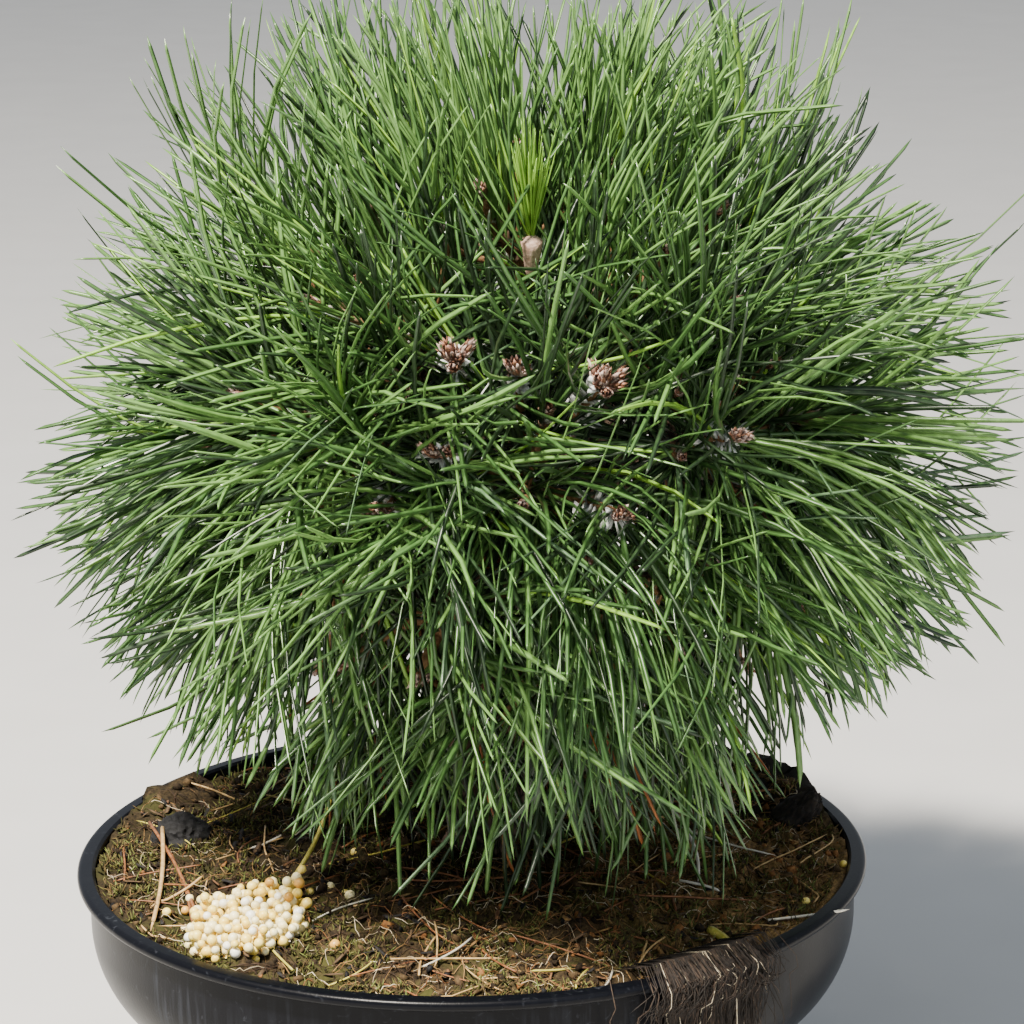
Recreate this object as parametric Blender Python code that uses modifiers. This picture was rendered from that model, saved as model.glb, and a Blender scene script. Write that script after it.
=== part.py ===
"""Mugo pine in a shallow planting bowl, in metres, with +Z up.

The origin is at the middle of the bowl's flat underside, and the front of the plant faces -Y.
"""

import math
import random

import bmesh
import bpy
from mathutils import Matrix, Vector, noise

# Bowl
RIM_RADIUS = 0.110
BOWL_HEIGHT = 0.075
LIP_REACH = 0.0033
LIP_THICKNESS = 0.003
WALL_THICKNESS = 0.0016
WALL_RADIUS = RIM_RADIUS - LIP_REACH
UPRIGHT_DEPTH = 0.015
TURN_RADIUS = 0.029
TURN_ANGLE = math.radians(43)
TURN_STEPS = 3
LIP_STEPS = 4
ROUND_SIDES = 48
DRAIN_HOLES = 6
DRAIN_RADIUS = 0.004
DRAIN_CIRCLE = 0.044
DRAIN_TURN = math.radians(3.75)
SEAT_GAP = 0.0003

# Growing mix
SOIL_EDGE = BOWL_HEIGHT - 0.0055
SOIL_TOP = BOWL_HEIGHT + 0.0020
SOIL_RINGS = 5
SOIL_BUMP = 0.0018
SOIL_BUMP_SPACING = 0.017
SOIL_FLAT_RADIUS = 0.020
SOIL_FALL = 2.2

# What lies on the mix, each as the place of its middle, its half sizes and its turn in degrees
FEED_HEAP = ((-0.0590, -0.0545), (0.0155, 0.0230, 0.0055), -14)
BARK_LUMP = ((-0.0830, 0.0170), (0.0095, 0.0080, 0.0085), 15)
MIX_CLOD = ((0.0925, 0.0235), (0.0075, 0.0075, 0.0105), -30)
LUMP_ROUGHNESS = 0.16
LUMP_DETAIL = 1.7

# Root mat that hangs over the rim at the front right
MAT_MIDDLE = math.radians(-55)
MAT_SPREAD = math.radians(15)
MAT_STEPS = 4
MAT_THICKNESS = 0.0022
MAT_INNER_RADIUS = 0.086
MAT_DROP = 0.033
MAT_SUNK = 0.004

# Crown
CROWN_CENTRE = Vector((0.016, 0.0, BOWL_HEIGHT + 0.115))
CROWN_REACH = 0.1385
CROWN_REACH_LOW = 0.118
REACH_SPREAD = (0.99, 1.045)
LOW_LATITUDE = math.radians(-58)
LEVEL_LATITUDE = math.radians(-12)
NEEDLE_FLOOR = SOIL_TOP + 0.005

# Trunk
TRUNK_FOOT = Vector((0.004, 0.003, SOIL_TOP + SEAT_GAP))
TRUNK_RADIUS = 0.0085
TRUNK_TIP_RADIUS = 0.0036
TRUNK_TAPER = 0.8
TRUNK_BOW = Vector((0.0035, 0.0025, 0.0))
TRUNK_FLARE = 0.0060
FLARE_HEIGHT = 0.011
FLAT_CUT = 0.0015
ROOT_RIDGES = 5
RIDGE_DEPTH = 0.35
RIDGE_TURN = 0.6
TRUNK_SIDES_RESOLUTION = 4
TRUNK_POINTS = 12
TRUNK_CROWDING = 1.35

# Rings of foliage: name, count, latitude, first azimuth, sweep, lowest and highest bough foot above the
# mix, and how far from the crown's centre the boughs end. The lowest ring is open at the front right.
LEADER_AZIMUTH = math.radians(-90)
LEADER_LATITUDE = math.radians(78)
LEADER_START = 0.046
LATITUDE_SWING = 2.5
FOOT_STEP = 3
RINGS = (
    ("shoulder", 5, 43, -126, 360, 0.092, 0.122, 0.050),
    ("middle", 8, 8, -90, 360, 0.058, 0.088, 0.052),
    ("skirt", 7, -27, -112, 360, 0.028, 0.052, 0.054),
    ("low", 4, -54, 45, 300, 0.014, 0.024, 0.062),
)

# Boughs
BOUGH_RADIUS = 0.0031
BOUGH_TIP_RADIUS = 0.0021
BOUGH_POINTS = 6
BOUGH_NECK = 0.004
BOUGH_SIDES_RESOLUTION = 1
BOUGH_RISE = 0.45
BOUGH_LEAVING = 0.38
BOUGH_ARRIVING = 0.26
BOUGH_SWAY = 0.0015

# Foliage
CELL_MARGIN = 0.0005
LIMB_CLEARANCE = 0.0030
STEM_RADIUS = 0.0019
TWIG_RADIUS = 0.0014
TWIG_TAPER = 0.7
TWIG_COUNT = 3
TWIG_SPREAD = math.radians(16)
TWIG_SPREAD_RANGE = (0.86, 1.05)
TWIG_TURN_SPREAD = 0.2
TWIG_FLARE = 1.25
FIRST_FORK = 0.12
FORK_STEP = 0.14
SHOOT_TIP = 0.094
SHOOT_TIP_LOW = 0.088
SHOOT_TIP_SPREAD = (-0.005, 0.002)
STEM_LEAD = 0.002
TUFT_BACK = 0.014
TUFT_AHEAD = 0.012
TUFT_RADIUS = 0.0042
TUFT_SIDES = 3
NEEDLES_A_SHOOT = 5
NEEDLE_LENGTH = 0.055
NEEDLE_LENGTH_RANGE = (0.90, 1.04)
NEEDLE_RADIUS = 0.0023
NEEDLE_BELLY = 0.36
NEEDLE_LEAN = (math.radians(14), math.radians(58))
NEEDLE_ROOT_SPREAD = 0.009
NEEDLE_TRIES = 60
NEEDLE_FREE_FROM = 0.15
CANDLE_LENGTH = 0.020
CANDLE_RADIUS = 0.0032
CANDLE_BELLY = 0.35
GOLDEN_ANGLE = math.pi * (3 - math.sqrt(5))
SEED = 2305

# Finishes: colour as linear red, green and blue, then roughness
FINISHES = {
    "black_polypropylene": ((0.020, 0.021, 0.024), 0.42),
    "peat_mix": ((0.045, 0.030, 0.017), 0.95),
    "feed_prills": ((0.72, 0.62, 0.30), 0.45),
    "charred_bark": ((0.014, 0.012, 0.012), 0.90),
    "root_fibre": ((0.040, 0.028, 0.020), 0.95),
    "pine_bark": ((0.075, 0.050, 0.034), 0.90),
    "pine_needles": ((0.050, 0.125, 0.030), 0.45),
}


def clear_scene():
    """Remove what the open file holds."""
    for obj in list(bpy.data.objects):
        bpy.data.objects.remove(obj, do_unlink=True)


def new_collection(name):
    """Make a collection in the scene."""
    collection = bpy.data.collections.new(name)
    bpy.context.scene.collection.children.link(collection)
    return collection


def finish(name):
    """Make one finish as a Principled material."""
    colour, roughness = FINISHES[name]
    material = bpy.data.materials.new(name)
    material.use_nodes = True
    shader = material.node_tree.nodes["Principled BSDF"]
    shader.inputs["Base Color"].default_value = (*colour, 1.0)
    shader.inputs["Roughness"].default_value = roughness
    shader.inputs["Metallic"].default_value = 0.0
    return material


def object_from(name, mesh, collection, material=None):
    """Put a mesh in the scene as a named object with its own material."""
    obj = bpy.data.objects.new(name, mesh)
    collection.objects.link(obj)
    if material:
        mesh.materials.clear()
        mesh.materials.append(material)
    return obj


def mesh_from(name, bm):
    """Turn a bmesh into a mesh."""
    mesh = bpy.data.meshes.new(name)
    bm.to_mesh(mesh)
    bm.free()
    return mesh


def make_cutter(obj):
    """Keep an object as a guide that is not part of the plant."""
    obj.hide_render = True
    obj.display_type = "WIRE"


def evaluated_mesh(obj, weld):
    """Give the object's mesh as its modifiers leave it, in world space and welded."""
    bpy.context.view_layer.update()
    graph = bpy.context.evaluated_depsgraph_get()
    mesh = bpy.data.meshes.new_from_object(obj.evaluated_get(graph))
    mesh.transform(obj.matrix_world)
    bm = bmesh.new()
    bm.from_mesh(mesh)
    bmesh.ops.remove_doubles(bm, verts=bm.verts, dist=weld)
    bm.to_mesh(mesh)
    bm.free()
    return mesh


def applied(obj, collection, material, weld=0.00001):
    """Replace an object by the mesh that its modifiers or its curve make."""
    name = obj.name
    mesh = evaluated_mesh(obj, weld)
    bpy.data.objects.remove(obj, do_unlink=True)
    mesh.name = name
    return object_from(name, mesh, collection, material)


def turned(name, profile, collection, material):
    """Turn a profile in the XZ plane round the Z axis."""
    mesh = bpy.data.meshes.new(name)
    points = [(radius, 0.0, height) for radius, height in profile]
    edges = [(i, i + 1) for i in range(len(points) - 1)]
    mesh.from_pydata(points, edges, [])
    obj = object_from(name, mesh, collection, material)
    screw = obj.modifiers.new("turn", "SCREW")
    screw.steps = ROUND_SIDES
    screw.render_steps = ROUND_SIDES
    screw.use_merge_vertices = True
    screw.merge_threshold = 0.0001
    return applied(obj, collection, material)


def boolean(obj, other, operation, solver="EXACT"):
    """Cut an object by another, or join it to all that is in a collection."""
    modifier = obj.modifiers.new(operation.lower(), "BOOLEAN")
    modifier.operation = operation
    modifier.solver = solver
    if isinstance(other, bpy.types.Collection):
        modifier.operand_type = "COLLECTION"
        modifier.collection = other
    else:
        modifier.object = other


def wall_profile(inset):
    """Give the bowl's outer wall, moved inwards by the inset, from its upright part down to the foot."""
    centre_radius = WALL_RADIUS - TURN_RADIUS
    centre_height = BOWL_HEIGHT - UPRIGHT_DEPTH
    radius = TURN_RADIUS - inset
    points = []
    for step in range(TURN_STEPS + 1):
        angle = TURN_ANGLE * step / TURN_STEPS
        points.append((centre_radius + radius * math.cos(angle), centre_height - radius * math.sin(angle)))
    last_radius, last_height = points[-1]
    points.append((last_radius - (last_height - inset) * math.tan(TURN_ANGLE), inset))
    return points


def lip_arc(clearance):
    """Give the half round of the lip's outer edge, from its top to its underside."""
    half = LIP_THICKNESS / 2
    reach = half + clearance
    points = []
    for step in range(LIP_STEPS + 1):
        angle = math.pi / 2 - math.pi * step / LIP_STEPS
        radius = RIM_RADIUS - half + reach * math.cos(angle)
        points.append((radius, BOWL_HEIGHT - half + reach * math.sin(angle)))
    return points


def lip_profile():
    """Give the lip, from the inside of its top to its underside at the wall."""
    half = LIP_THICKNESS / 2
    inner = WALL_RADIUS - WALL_THICKNESS
    top = [(inner, BOWL_HEIGHT - half / 2), (inner + half / 2, BOWL_HEIGHT)]
    return top + lip_arc(0.0) + [(WALL_RADIUS, BOWL_HEIGHT - LIP_THICKNESS)]


def build_bowl(parts, cutters):
    """Make the moulded bowl, with its drain holes in a ring round the middle of the floor."""
    inner = list(reversed(wall_profile(WALL_THICKNESS)))
    profile = [(0.0, WALL_THICKNESS)] + inner + lip_profile() + wall_profile(0.0) + [(0.0, 0.0)]
    bowl = turned("bowl", profile, parts, finish("black_polypropylene"))
    for index in range(DRAIN_HOLES):
        angle = math.tau * (index + 0.5) / DRAIN_HOLES + DRAIN_TURN
        bm = bmesh.new()
        bmesh.ops.create_cone(
            bm,
            cap_ends=True,
            segments=8,
            radius1=DRAIN_RADIUS,
            radius2=DRAIN_RADIUS,
            depth=0.02,
        )
        hole = object_from(f"drain_cutter_{index + 1}", mesh_from("drain_cutter", bm), cutters)
        hole.location = (DRAIN_CIRCLE * math.cos(angle), DRAIN_CIRCLE * math.sin(angle), 0.0)
        make_cutter(hole)
        boolean(bowl, hole, "DIFFERENCE")


def ground_height(x, y):
    """Give the height of the mix: a low mound with lumps, flat where the trunk stands."""
    radius = math.hypot(x, y)
    share = min(radius / WALL_RADIUS, 1.0)
    mound = SOIL_TOP + (SOIL_EDGE - SOIL_TOP) * share**SOIL_FALL
    lumps = SOIL_BUMP * noise.noise(Vector((x, y, 0.37)) / SOIL_BUMP_SPACING)
    away = min(max((radius - SOIL_FLAT_RADIUS) / SOIL_FLAT_RADIUS, 0.0), 1.0)
    return SOIL_TOP * (1.0 - away) + (mound + lumps) * away


def build_soil(parts, cutters):
    """Make the peaty mix that fills the bowl, and a copy 0.3 mm higher that cuts what lies on it."""
    inset = WALL_THICKNESS + SEAT_GAP
    edge = WALL_RADIUS - inset
    rings = [(edge * step / SOIL_RINGS, SOIL_EDGE) for step in range(SOIL_RINGS + 1)]
    profile = rings + wall_profile(inset) + [(0.0, inset)]
    soil = turned("soil", profile, parts, finish("peat_mix"))
    for vertex in soil.data.vertices:
        if vertex.co.z > SOIL_EDGE - SEAT_GAP:
            vertex.co.z = ground_height(vertex.co.x, vertex.co.y)
    bm = bmesh.new()
    bm.from_mesh(soil.data)
    bmesh.ops.triangulate(bm, faces=bm.faces)
    bm.to_mesh(soil.data)
    bm.free()
    raised = object_from("soil_cutter", soil.data.copy(), cutters)
    raised.location.z = SEAT_GAP
    make_cutter(raised)
    return raised


def build_lump(name, place, sizes, turn, material, parts, raised_soil):
    """Make a lump that lies on the mix, from a coarse ball with an uneven surface."""
    bm = bmesh.new()
    bmesh.ops.create_icosphere(bm, subdivisions=2, radius=1.0)
    for vertex in bm.verts:
        vertex.co *= 1.0 + LUMP_ROUGHNESS * noise.noise(vertex.co * LUMP_DETAIL + Vector((turn, 0, 0)))
    shape = Matrix.Translation((place[0], place[1], ground_height(*place)))
    shape = shape @ Matrix.Rotation(math.radians(turn), 4, "Z")
    shape = shape @ Matrix.Diagonal((*sizes, 1.0))
    bmesh.ops.transform(bm, matrix=shape, verts=bm.verts)
    lump = object_from(name, mesh_from(name, bm), parts, material)
    boolean(lump, raised_soil, "DIFFERENCE")
    return lump


def mat_profile():
    """Give the root mat's section: in on the mix, over the lip and down the wall, 0.3 mm clear of both."""
    inner = WALL_RADIUS - WALL_THICKNESS - SEAT_GAP
    under = [(MAT_INNER_RADIUS, SOIL_EDGE - MAT_SUNK), (inner, SOIL_EDGE - MAT_SUNK)]
    under.append((inner, BOWL_HEIGHT + SEAT_GAP))
    under.extend(lip_arc(SEAT_GAP)[:-1])
    under.append((WALL_RADIUS + SEAT_GAP * 2, BOWL_HEIGHT - LIP_THICKNESS * 2.5))
    wall = [point for point in wall_profile(-SEAT_GAP) if point[1] > BOWL_HEIGHT - MAT_DROP]
    under.extend(wall)
    over = [(radius + MAT_THICKNESS, height) for radius, height in reversed(wall)]
    over.append((RIM_RADIUS + MAT_THICKNESS, BOWL_HEIGHT - LIP_THICKNESS))
    over.append((RIM_RADIUS + MAT_THICKNESS / 2, BOWL_HEIGHT + MAT_THICKNESS / 2))
    over.append((RIM_RADIUS - LIP_THICKNESS, BOWL_HEIGHT + MAT_THICKNESS))
    over.append(((MAT_INNER_RADIUS + inner) / 2, BOWL_HEIGHT))
    over.append((MAT_INNER_RADIUS, SOIL_EDGE + MAT_THICKNESS / 2))
    return under + over


def build_root_mat(parts, raised_soil):
    """Make the mat of fine roots that hangs over the rim, by sweeping its section a short way round."""
    bm = bmesh.new()
    first = MAT_MIDDLE - MAT_SPREAD / 2
    corners = []
    for radius, height in mat_profile():
        corners.append(bm.verts.new((radius * math.cos(first), radius * math.sin(first), height)))
    face = bm.faces.new(corners)
    bmesh.ops.spin(
        bm,
        geom=[face],
        cent=(0, 0, 0),
        axis=(0, 0, 1),
        angle=MAT_SPREAD,
        steps=MAT_STEPS,
        use_duplicate=False,
    )
    bmesh.ops.recalc_face_normals(bm, faces=bm.faces)
    mat = object_from("root_mat", mesh_from("root_mat", bm), parts, finish("root_fibre"))
    boolean(mat, raised_soil, "DIFFERENCE")
    return mat


def direction(azimuth, latitude):
    """Give the unit vector at an azimuth and a latitude."""
    level = math.cos(latitude)
    return Vector((level * math.cos(azimuth), level * math.sin(azimuth), math.sin(latitude)))


def side_of(axis):
    """Give two unit vectors across an axis."""
    first = axis.cross(Vector((0, 0, 1)))
    if first.length < 0.05:
        first = axis.cross(Vector((0, 1, 0)))
    first.normalize()
    return first, axis.cross(first).normalized()


def leaning(axis, lean, turn):
    """Tilt an axis by the lean, towards the given turn about it."""
    first, second = side_of(axis)
    across = first * math.cos(turn) + second * math.sin(turn)
    return (axis * math.cos(lean) + across * math.sin(lean)).normalized()


def foliage_plan():
    """List each mass: its name, direction, bough foot above the mix, and where its bough ends."""
    plan = [("leader", direction(LEADER_AZIMUTH, LEADER_LATITUDE), None, LEADER_START)]
    for ring, count, latitude, first, sweep, lowest, highest, end in RINGS:
        for index in range(count):
            azimuth = math.radians(first + sweep * index / count)
            swing = LATITUDE_SWING if index % 2 else -LATITUDE_SWING
            heading = direction(azimuth, math.radians(latitude + swing))
            share = (index * FOOT_STEP % count) / (count - 1)
            plan.append((f"{ring}_{index + 1}", heading, lowest + (highest - lowest) * share, end))
    return plan


def trunk_point(share):
    """Give the trunk's middle line, which leans from its foot to the leader."""
    tip = CROWN_CENTRE + direction(LEADER_AZIMUTH, LEADER_LATITUDE) * (LEADER_START - SEAT_GAP)
    straight = TRUNK_FOOT.lerp(tip, share)
    return straight + TRUNK_BOW * math.sin(math.pi * share)


def trunk_radius(share):
    """Give the trunk's radius, which tapers to the tip."""
    return TRUNK_RADIUS + (TRUNK_TIP_RADIUS - TRUNK_RADIUS) * share**TRUNK_TAPER


def share_at_height(height):
    """Give how far up the trunk a height above the mix lies."""
    return height / (trunk_point(1.0).z - TRUNK_FOOT.z)


def limb(name, points, radii, resolution, collection, material):
    """Make one tapering limb as a tube through the points."""
    curve = bpy.data.curves.new(name, "CURVE")
    curve.dimensions = "3D"
    curve.bevel_depth = 1.0
    curve.bevel_resolution = resolution
    curve.use_fill_caps = True
    spline = curve.splines.new("POLY")
    spline.points.add(len(points) - 1)
    for point, place, radius in zip(spline.points, points, radii):
        point.co = (*place, 1.0)
        point.radius = radius
    obj = bpy.data.objects.new(name, curve)
    collection.objects.link(obj)
    return applied(obj, collection, material)


def flare_foot(trunk, clearance):
    """Spread the trunk's foot into root ridges and cut it flat at the ground."""
    for vertex in trunk.data.vertices:
        height = max(vertex.co.z - TRUNK_FOOT.z, 0.0)
        swell = math.exp(-height / FLARE_HEIGHT)
        across = Vector((vertex.co.x - TRUNK_FOOT.x, vertex.co.y - TRUNK_FOOT.y, 0.0))
        if across.length > 0.001 and height < 4 * FLARE_HEIGHT:
            turn = math.atan2(across.y, across.x)
            ridge = 1.0 - RIDGE_DEPTH + RIDGE_DEPTH * math.cos(ROOT_RIDGES * turn + RIDGE_TURN)
            vertex.co += across.normalized() * TRUNK_FLARE * ridge * swell
    lowest = min(vertex.co.z for vertex in trunk.data.vertices)
    for vertex in trunk.data.vertices:
        if vertex.co.z < lowest + FLAT_CUT:
            vertex.co.z = TRUNK_FOOT.z - clearance


def build_trunk(name, collection, material, clearance=0.0):
    """Make the trunk, or with a clearance the guide that trims the boughs to it."""
    shares = [(step / (TRUNK_POINTS - 1)) ** TRUNK_CROWDING for step in range(TRUNK_POINTS)]
    points = [trunk_point(share) for share in shares]
    radii = [trunk_radius(share) + clearance for share in shares]
    if clearance:
        points[-1] = trunk_point(1.0) + Vector((0, 0, clearance))
    trunk = limb(name, points, radii, TRUNK_SIDES_RESOLUTION, collection, material)
    flare_foot(trunk, clearance)
    return trunk


def bough_route(heading, foot_height, end_radius, rng):
    """Give a bough's points: out of the trunk, rising, and on to the place where its mass begins."""
    start = trunk_point(share_at_height(foot_height))
    end = CROWN_CENTRE + heading * end_radius
    neck = end - heading * BOUGH_NECK
    outward = Vector((end.x - start.x, end.y - start.y, 0.0)).normalized()
    span = (neck - start).length
    first = start + (outward + Vector((0, 0, BOUGH_RISE))) * span * BOUGH_LEAVING
    second = neck - heading * span * BOUGH_ARRIVING
    sway = outward.cross(Vector((0, 0, 1))) * rng.uniform(-BOUGH_SWAY, BOUGH_SWAY)
    points = []
    for step in range(BOUGH_POINTS - 1):
        t = step / (BOUGH_POINTS - 2)
        place = start * (1 - t) ** 3 + first * 3 * t * (1 - t) ** 2
        place = place + second * 3 * t * t * (1 - t) + neck * t**3
        points.append(place + sway * math.sin(math.pi * t))
    return points + [end]


def build_boughs(plan, parts, trunk_guide, material):
    """Make the boughs, each trimmed 0.3 mm clear of the trunk, and list their places and radii."""
    rng = random.Random(SEED)
    samples = []
    for name, heading, foot_height, end_radius in plan:
        if foot_height is None:
            continue
        points = bough_route(heading, foot_height, end_radius, rng)
        radii = []
        for step in range(BOUGH_POINTS):
            share = step / (BOUGH_POINTS - 1)
            radii.append(BOUGH_RADIUS + (BOUGH_TIP_RADIUS - BOUGH_RADIUS) * share)
        bough = limb(f"bough_{name}", points, radii, BOUGH_SIDES_RESOLUTION, parts, material)
        boolean(bough, trunk_guide, "DIFFERENCE")
        samples.extend(limb_samples(points, radii))
    return samples


def limb_samples(points, radii):
    """List places along a limb with the radius there, for keeping needles clear of it."""
    samples = []
    for first, second, near, far in zip(points, points[1:], radii, radii[1:]):
        count = max(2, round((second - first).length / 0.002))
        for step in range(count + 1):
            share = step / count
            samples.append((first.lerp(second, share), near + (far - near) * share))
    return samples


def latitude_of(heading):
    """Give a direction's latitude."""
    return math.asin(max(-1.0, min(1.0, heading.z)))


def low_share(heading):
    """Give how far a direction is on the way from the level part of the crown to its lowest masses."""
    share = (LEVEL_LATITUDE - latitude_of(heading)) / (LEVEL_LATITUDE - LOW_LATITUDE)
    return min(max(share, 0.0), 1.0)


def crown_reach(point):
    """Give how far the crown reaches from its centre in the direction of a point."""
    share = low_share((point - CROWN_CENTRE).normalized())
    return CROWN_REACH + (CROWN_REACH_LOW - CROWN_REACH) * share


def cell_planes(index, plan):
    """Give the planes that part a mass from its neighbours, each through the crown's centre."""
    own = plan[index][1]
    normals = []
    for other, entry in enumerate(plan):
        if other != index:
            normals.append((own - entry[1]).normalized())
    return normals


def in_cell(points, normals):
    """Say whether the points all lie in the mass's own space and above the mix."""
    for point in points:
        if point.z < NEEDLE_FLOOR:
            return False
        away = point - CROWN_CENTRE
        if any(away.dot(normal) < CELL_MARGIN for normal in normals):
            return False
    return True


def clear_of_limbs(root, tip, limbs):
    """Say whether a straight piece keeps clear of the trunk and the boughs."""
    for step in range(9):
        place = root.lerp(tip, step / 8)
        for sample, radius in limbs:
            if (place - sample).length_squared < (radius + LIMB_CLEARANCE) ** 2:
                return False
    return True


def between(root, tip, length):
    """Give the matrix that puts a piece along Z from a root to a tip."""
    turn = (tip - root).to_track_quat("Z", "Y").to_matrix().to_4x4()
    return Matrix.Translation(root) @ turn @ Matrix.Diagonal((1.0, 1.0, length, 1.0))


def taper(name, root, tip, root_radius, tip_radius, collection):
    """Make a three-sided twig."""
    bm = bmesh.new()
    bmesh.ops.create_cone(bm, cap_ends=True, segments=3, radius1=root_radius, radius2=tip_radius, depth=1.0)
    bmesh.ops.translate(bm, verts=bm.verts, vec=(0, 0, 0.5))
    bmesh.ops.transform(bm, matrix=between(root, tip, (tip - root).length), verts=bm.verts)
    return object_from(name, mesh_from(name, bm), collection)


def spindle(name, root, tip, radius, sides, belly, collection):
    """Make a slim body with a point at each end, widest at the belly."""
    bm = bmesh.new()
    bmesh.ops.create_uvsphere(bm, u_segments=sides, v_segments=2, radius=1.0)
    for vertex in bm.verts:
        if abs(vertex.co.z) < 0.5:
            vertex.co = (vertex.co.x * radius, vertex.co.y * radius, belly)
        else:
            vertex.co = (0.0, 0.0, 1.0 if vertex.co.z > 0 else 0.0)
    bmesh.ops.transform(bm, matrix=between(root, tip, (tip - root).length), verts=bm.verts)
    return object_from(name, mesh_from(name, bm), collection)


def outline_points(root, tip, radius, belly):
    """Give points that enclose a spindle: its ends, and a square round its belly."""
    first, second = side_of((tip - root).normalized())
    middle = root.lerp(tip, belly)
    corners = (first * radius, second * radius)
    return [root, tip] + [middle + corner for corner in corners] + [middle - corner for corner in corners]


def shoot_plan(heading, rng):
    """List a mass's shoots: the stem's own end and the twigs round it, each as a place and a direction."""
    tip_radius = SHOOT_TIP + (SHOOT_TIP_LOW - SHOOT_TIP) * low_share(heading)
    shoots = [(CROWN_CENTRE + heading * (tip_radius + STEM_LEAD), heading)]
    turn = rng.uniform(0, math.tau)
    for _ in range(TWIG_COUNT):
        aim = leaning(heading, TWIG_SPREAD * rng.uniform(*TWIG_SPREAD_RANGE), turn)
        tip = CROWN_CENTRE + aim * (tip_radius + rng.uniform(*SHOOT_TIP_SPREAD))
        shoots.append((tip, leaning(heading, TWIG_SPREAD * TWIG_FLARE, turn)))
        turn += math.tau / TWIG_COUNT + rng.uniform(-TWIG_TURN_SPREAD, TWIG_TURN_SPREAD)
    return shoots


def grow_needles(tip, heading, normals, limbs, rng, collection):
    """Stand needles out of one shoot's tuft, and skip each that would leave the mass's space."""
    turn = rng.uniform(0, math.tau)
    grown = 0
    for _ in range(NEEDLE_TRIES):
        if grown == NEEDLES_A_SHOOT:
            break
        turn += GOLDEN_ANGLE
        aim = leaning(heading, rng.uniform(*NEEDLE_LEAN), turn)
        root = tip - heading * rng.uniform(0.0, NEEDLE_ROOT_SPREAD)
        length = NEEDLE_LENGTH * rng.uniform(*NEEDLE_LENGTH_RANGE)
        end = root + aim * length
        if (end - CROWN_CENTRE).length > crown_reach(end) * rng.uniform(*REACH_SPREAD):
            continue
        if not in_cell(outline_points(root, end, NEEDLE_RADIUS, NEEDLE_BELLY), normals):
            continue
        if not clear_of_limbs(root.lerp(end, NEEDLE_FREE_FROM), end, limbs):
            continue
        spindle("needle", root, end, NEEDLE_RADIUS, 3, NEEDLE_BELLY, collection)
        grown += 1


def outer_shell(mesh):
    """Keep the mesh's largest closed body, which drops scraps and fills sealed hollows."""
    bm = bmesh.new()
    bm.from_mesh(mesh)
    unseen = set(bm.faces)
    shells = []
    while unseen:
        shell = {unseen.pop()}
        waiting = list(shell)
        while waiting:
            edges = waiting.pop().edges
            found = {face for edge in edges for face in edge.link_faces if face in unseen}
            unseen -= found
            shell |= found
            waiting.extend(found)
        shells.append(shell)
    largest = max(shells, key=len)
    scraps = [face for shell in shells if shell is not largest for face in shell]
    bmesh.ops.delete(bm, geom=scraps, context="FACES")
    bm.to_mesh(mesh)
    bm.free()


def build_mass(index, plan, limbs, parts, material):
    """Make one mass of needles: a stem, twigs that branch from it, and needles fused on."""
    name, heading, foot_height, end_radius = plan[index]
    rng = random.Random(SEED + 17 * index)
    pieces = new_collection(f"pieces_{name}")
    normals = cell_planes(index, plan)
    start = CROWN_CENTRE + heading * (end_radius + SEAT_GAP)
    shoots = shoot_plan(heading, rng)
    stem = taper(f"foliage_{name}", start, shoots[0][0], STEM_RADIUS, TWIG_RADIUS, parts)
    for number, (tip, aim) in enumerate(shoots):
        if number:
            fork = start.lerp(shoots[0][0], FIRST_FORK + FORK_STEP * number)
            taper("twig", fork, tip, TWIG_RADIUS, TWIG_RADIUS * TWIG_TAPER, pieces)
        back = tip - aim * TUFT_BACK
        ahead = tip + aim * TUFT_AHEAD
        if in_cell(outline_points(back, ahead, TUFT_RADIUS, 0.5), normals):
            spindle("tuft", back, ahead, TUFT_RADIUS, TUFT_SIDES, 0.5, pieces)
        grow_needles(tip, aim, normals, limbs, rng, pieces)
    if foot_height is None:
        root = shoots[0][0]
        spindle("candle", root, root + heading * CANDLE_LENGTH, CANDLE_RADIUS, 5, CANDLE_BELLY, pieces)
    boolean(stem, pieces, "UNION", "MANIFOLD")
    mass = applied(stem, parts, material, 0.0)
    outer_shell(mass.data)
    for piece in list(pieces.objects):
        bpy.data.objects.remove(piece, do_unlink=True)
    bpy.data.collections.remove(pieces)
    return mass


def shade_round(parts):
    """Shade the pieces smooth, with sharp edges kept."""
    for obj in parts.objects:
        obj.data.shade_smooth()
        obj.data.set_sharp_from_angle(angle=math.radians(40))


def build():
    """Put the plant together from the ground up."""
    clear_scene()
    parts = new_collection("mugo_pine")
    cutters = new_collection("cutters")
    build_bowl(parts, cutters)
    raised_soil = build_soil(parts, cutters)
    build_lump("feed_heap", *FEED_HEAP, finish("feed_prills"), parts, raised_soil)
    build_lump("bark_lump", *BARK_LUMP, finish("charred_bark"), parts, raised_soil)
    build_lump("mix_clod", *MIX_CLOD, finish("peat_mix"), parts, raised_soil)
    build_root_mat(parts, raised_soil)
    bark = finish("pine_bark")
    build_trunk("trunk", parts, bark)
    trunk_guide = build_trunk("trunk_cutter", cutters, None, SEAT_GAP)
    make_cutter(trunk_guide)
    plan = foliage_plan()
    shares = [step / 60 for step in range(61)]
    limbs = limb_samples([trunk_point(share) for share in shares], [trunk_radius(share) for share in shares])
    limbs.extend(build_boughs(plan, parts, trunk_guide, bark))
    needles = finish("pine_needles")
    for index in range(len(plan)):
        build_mass(index, plan, limbs, parts, needles)
    shade_round(parts)


build()
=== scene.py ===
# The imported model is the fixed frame.
import math
import random

import bmesh
import bpy
import numpy as np
from mathutils import Matrix, Vector, noise


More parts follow.
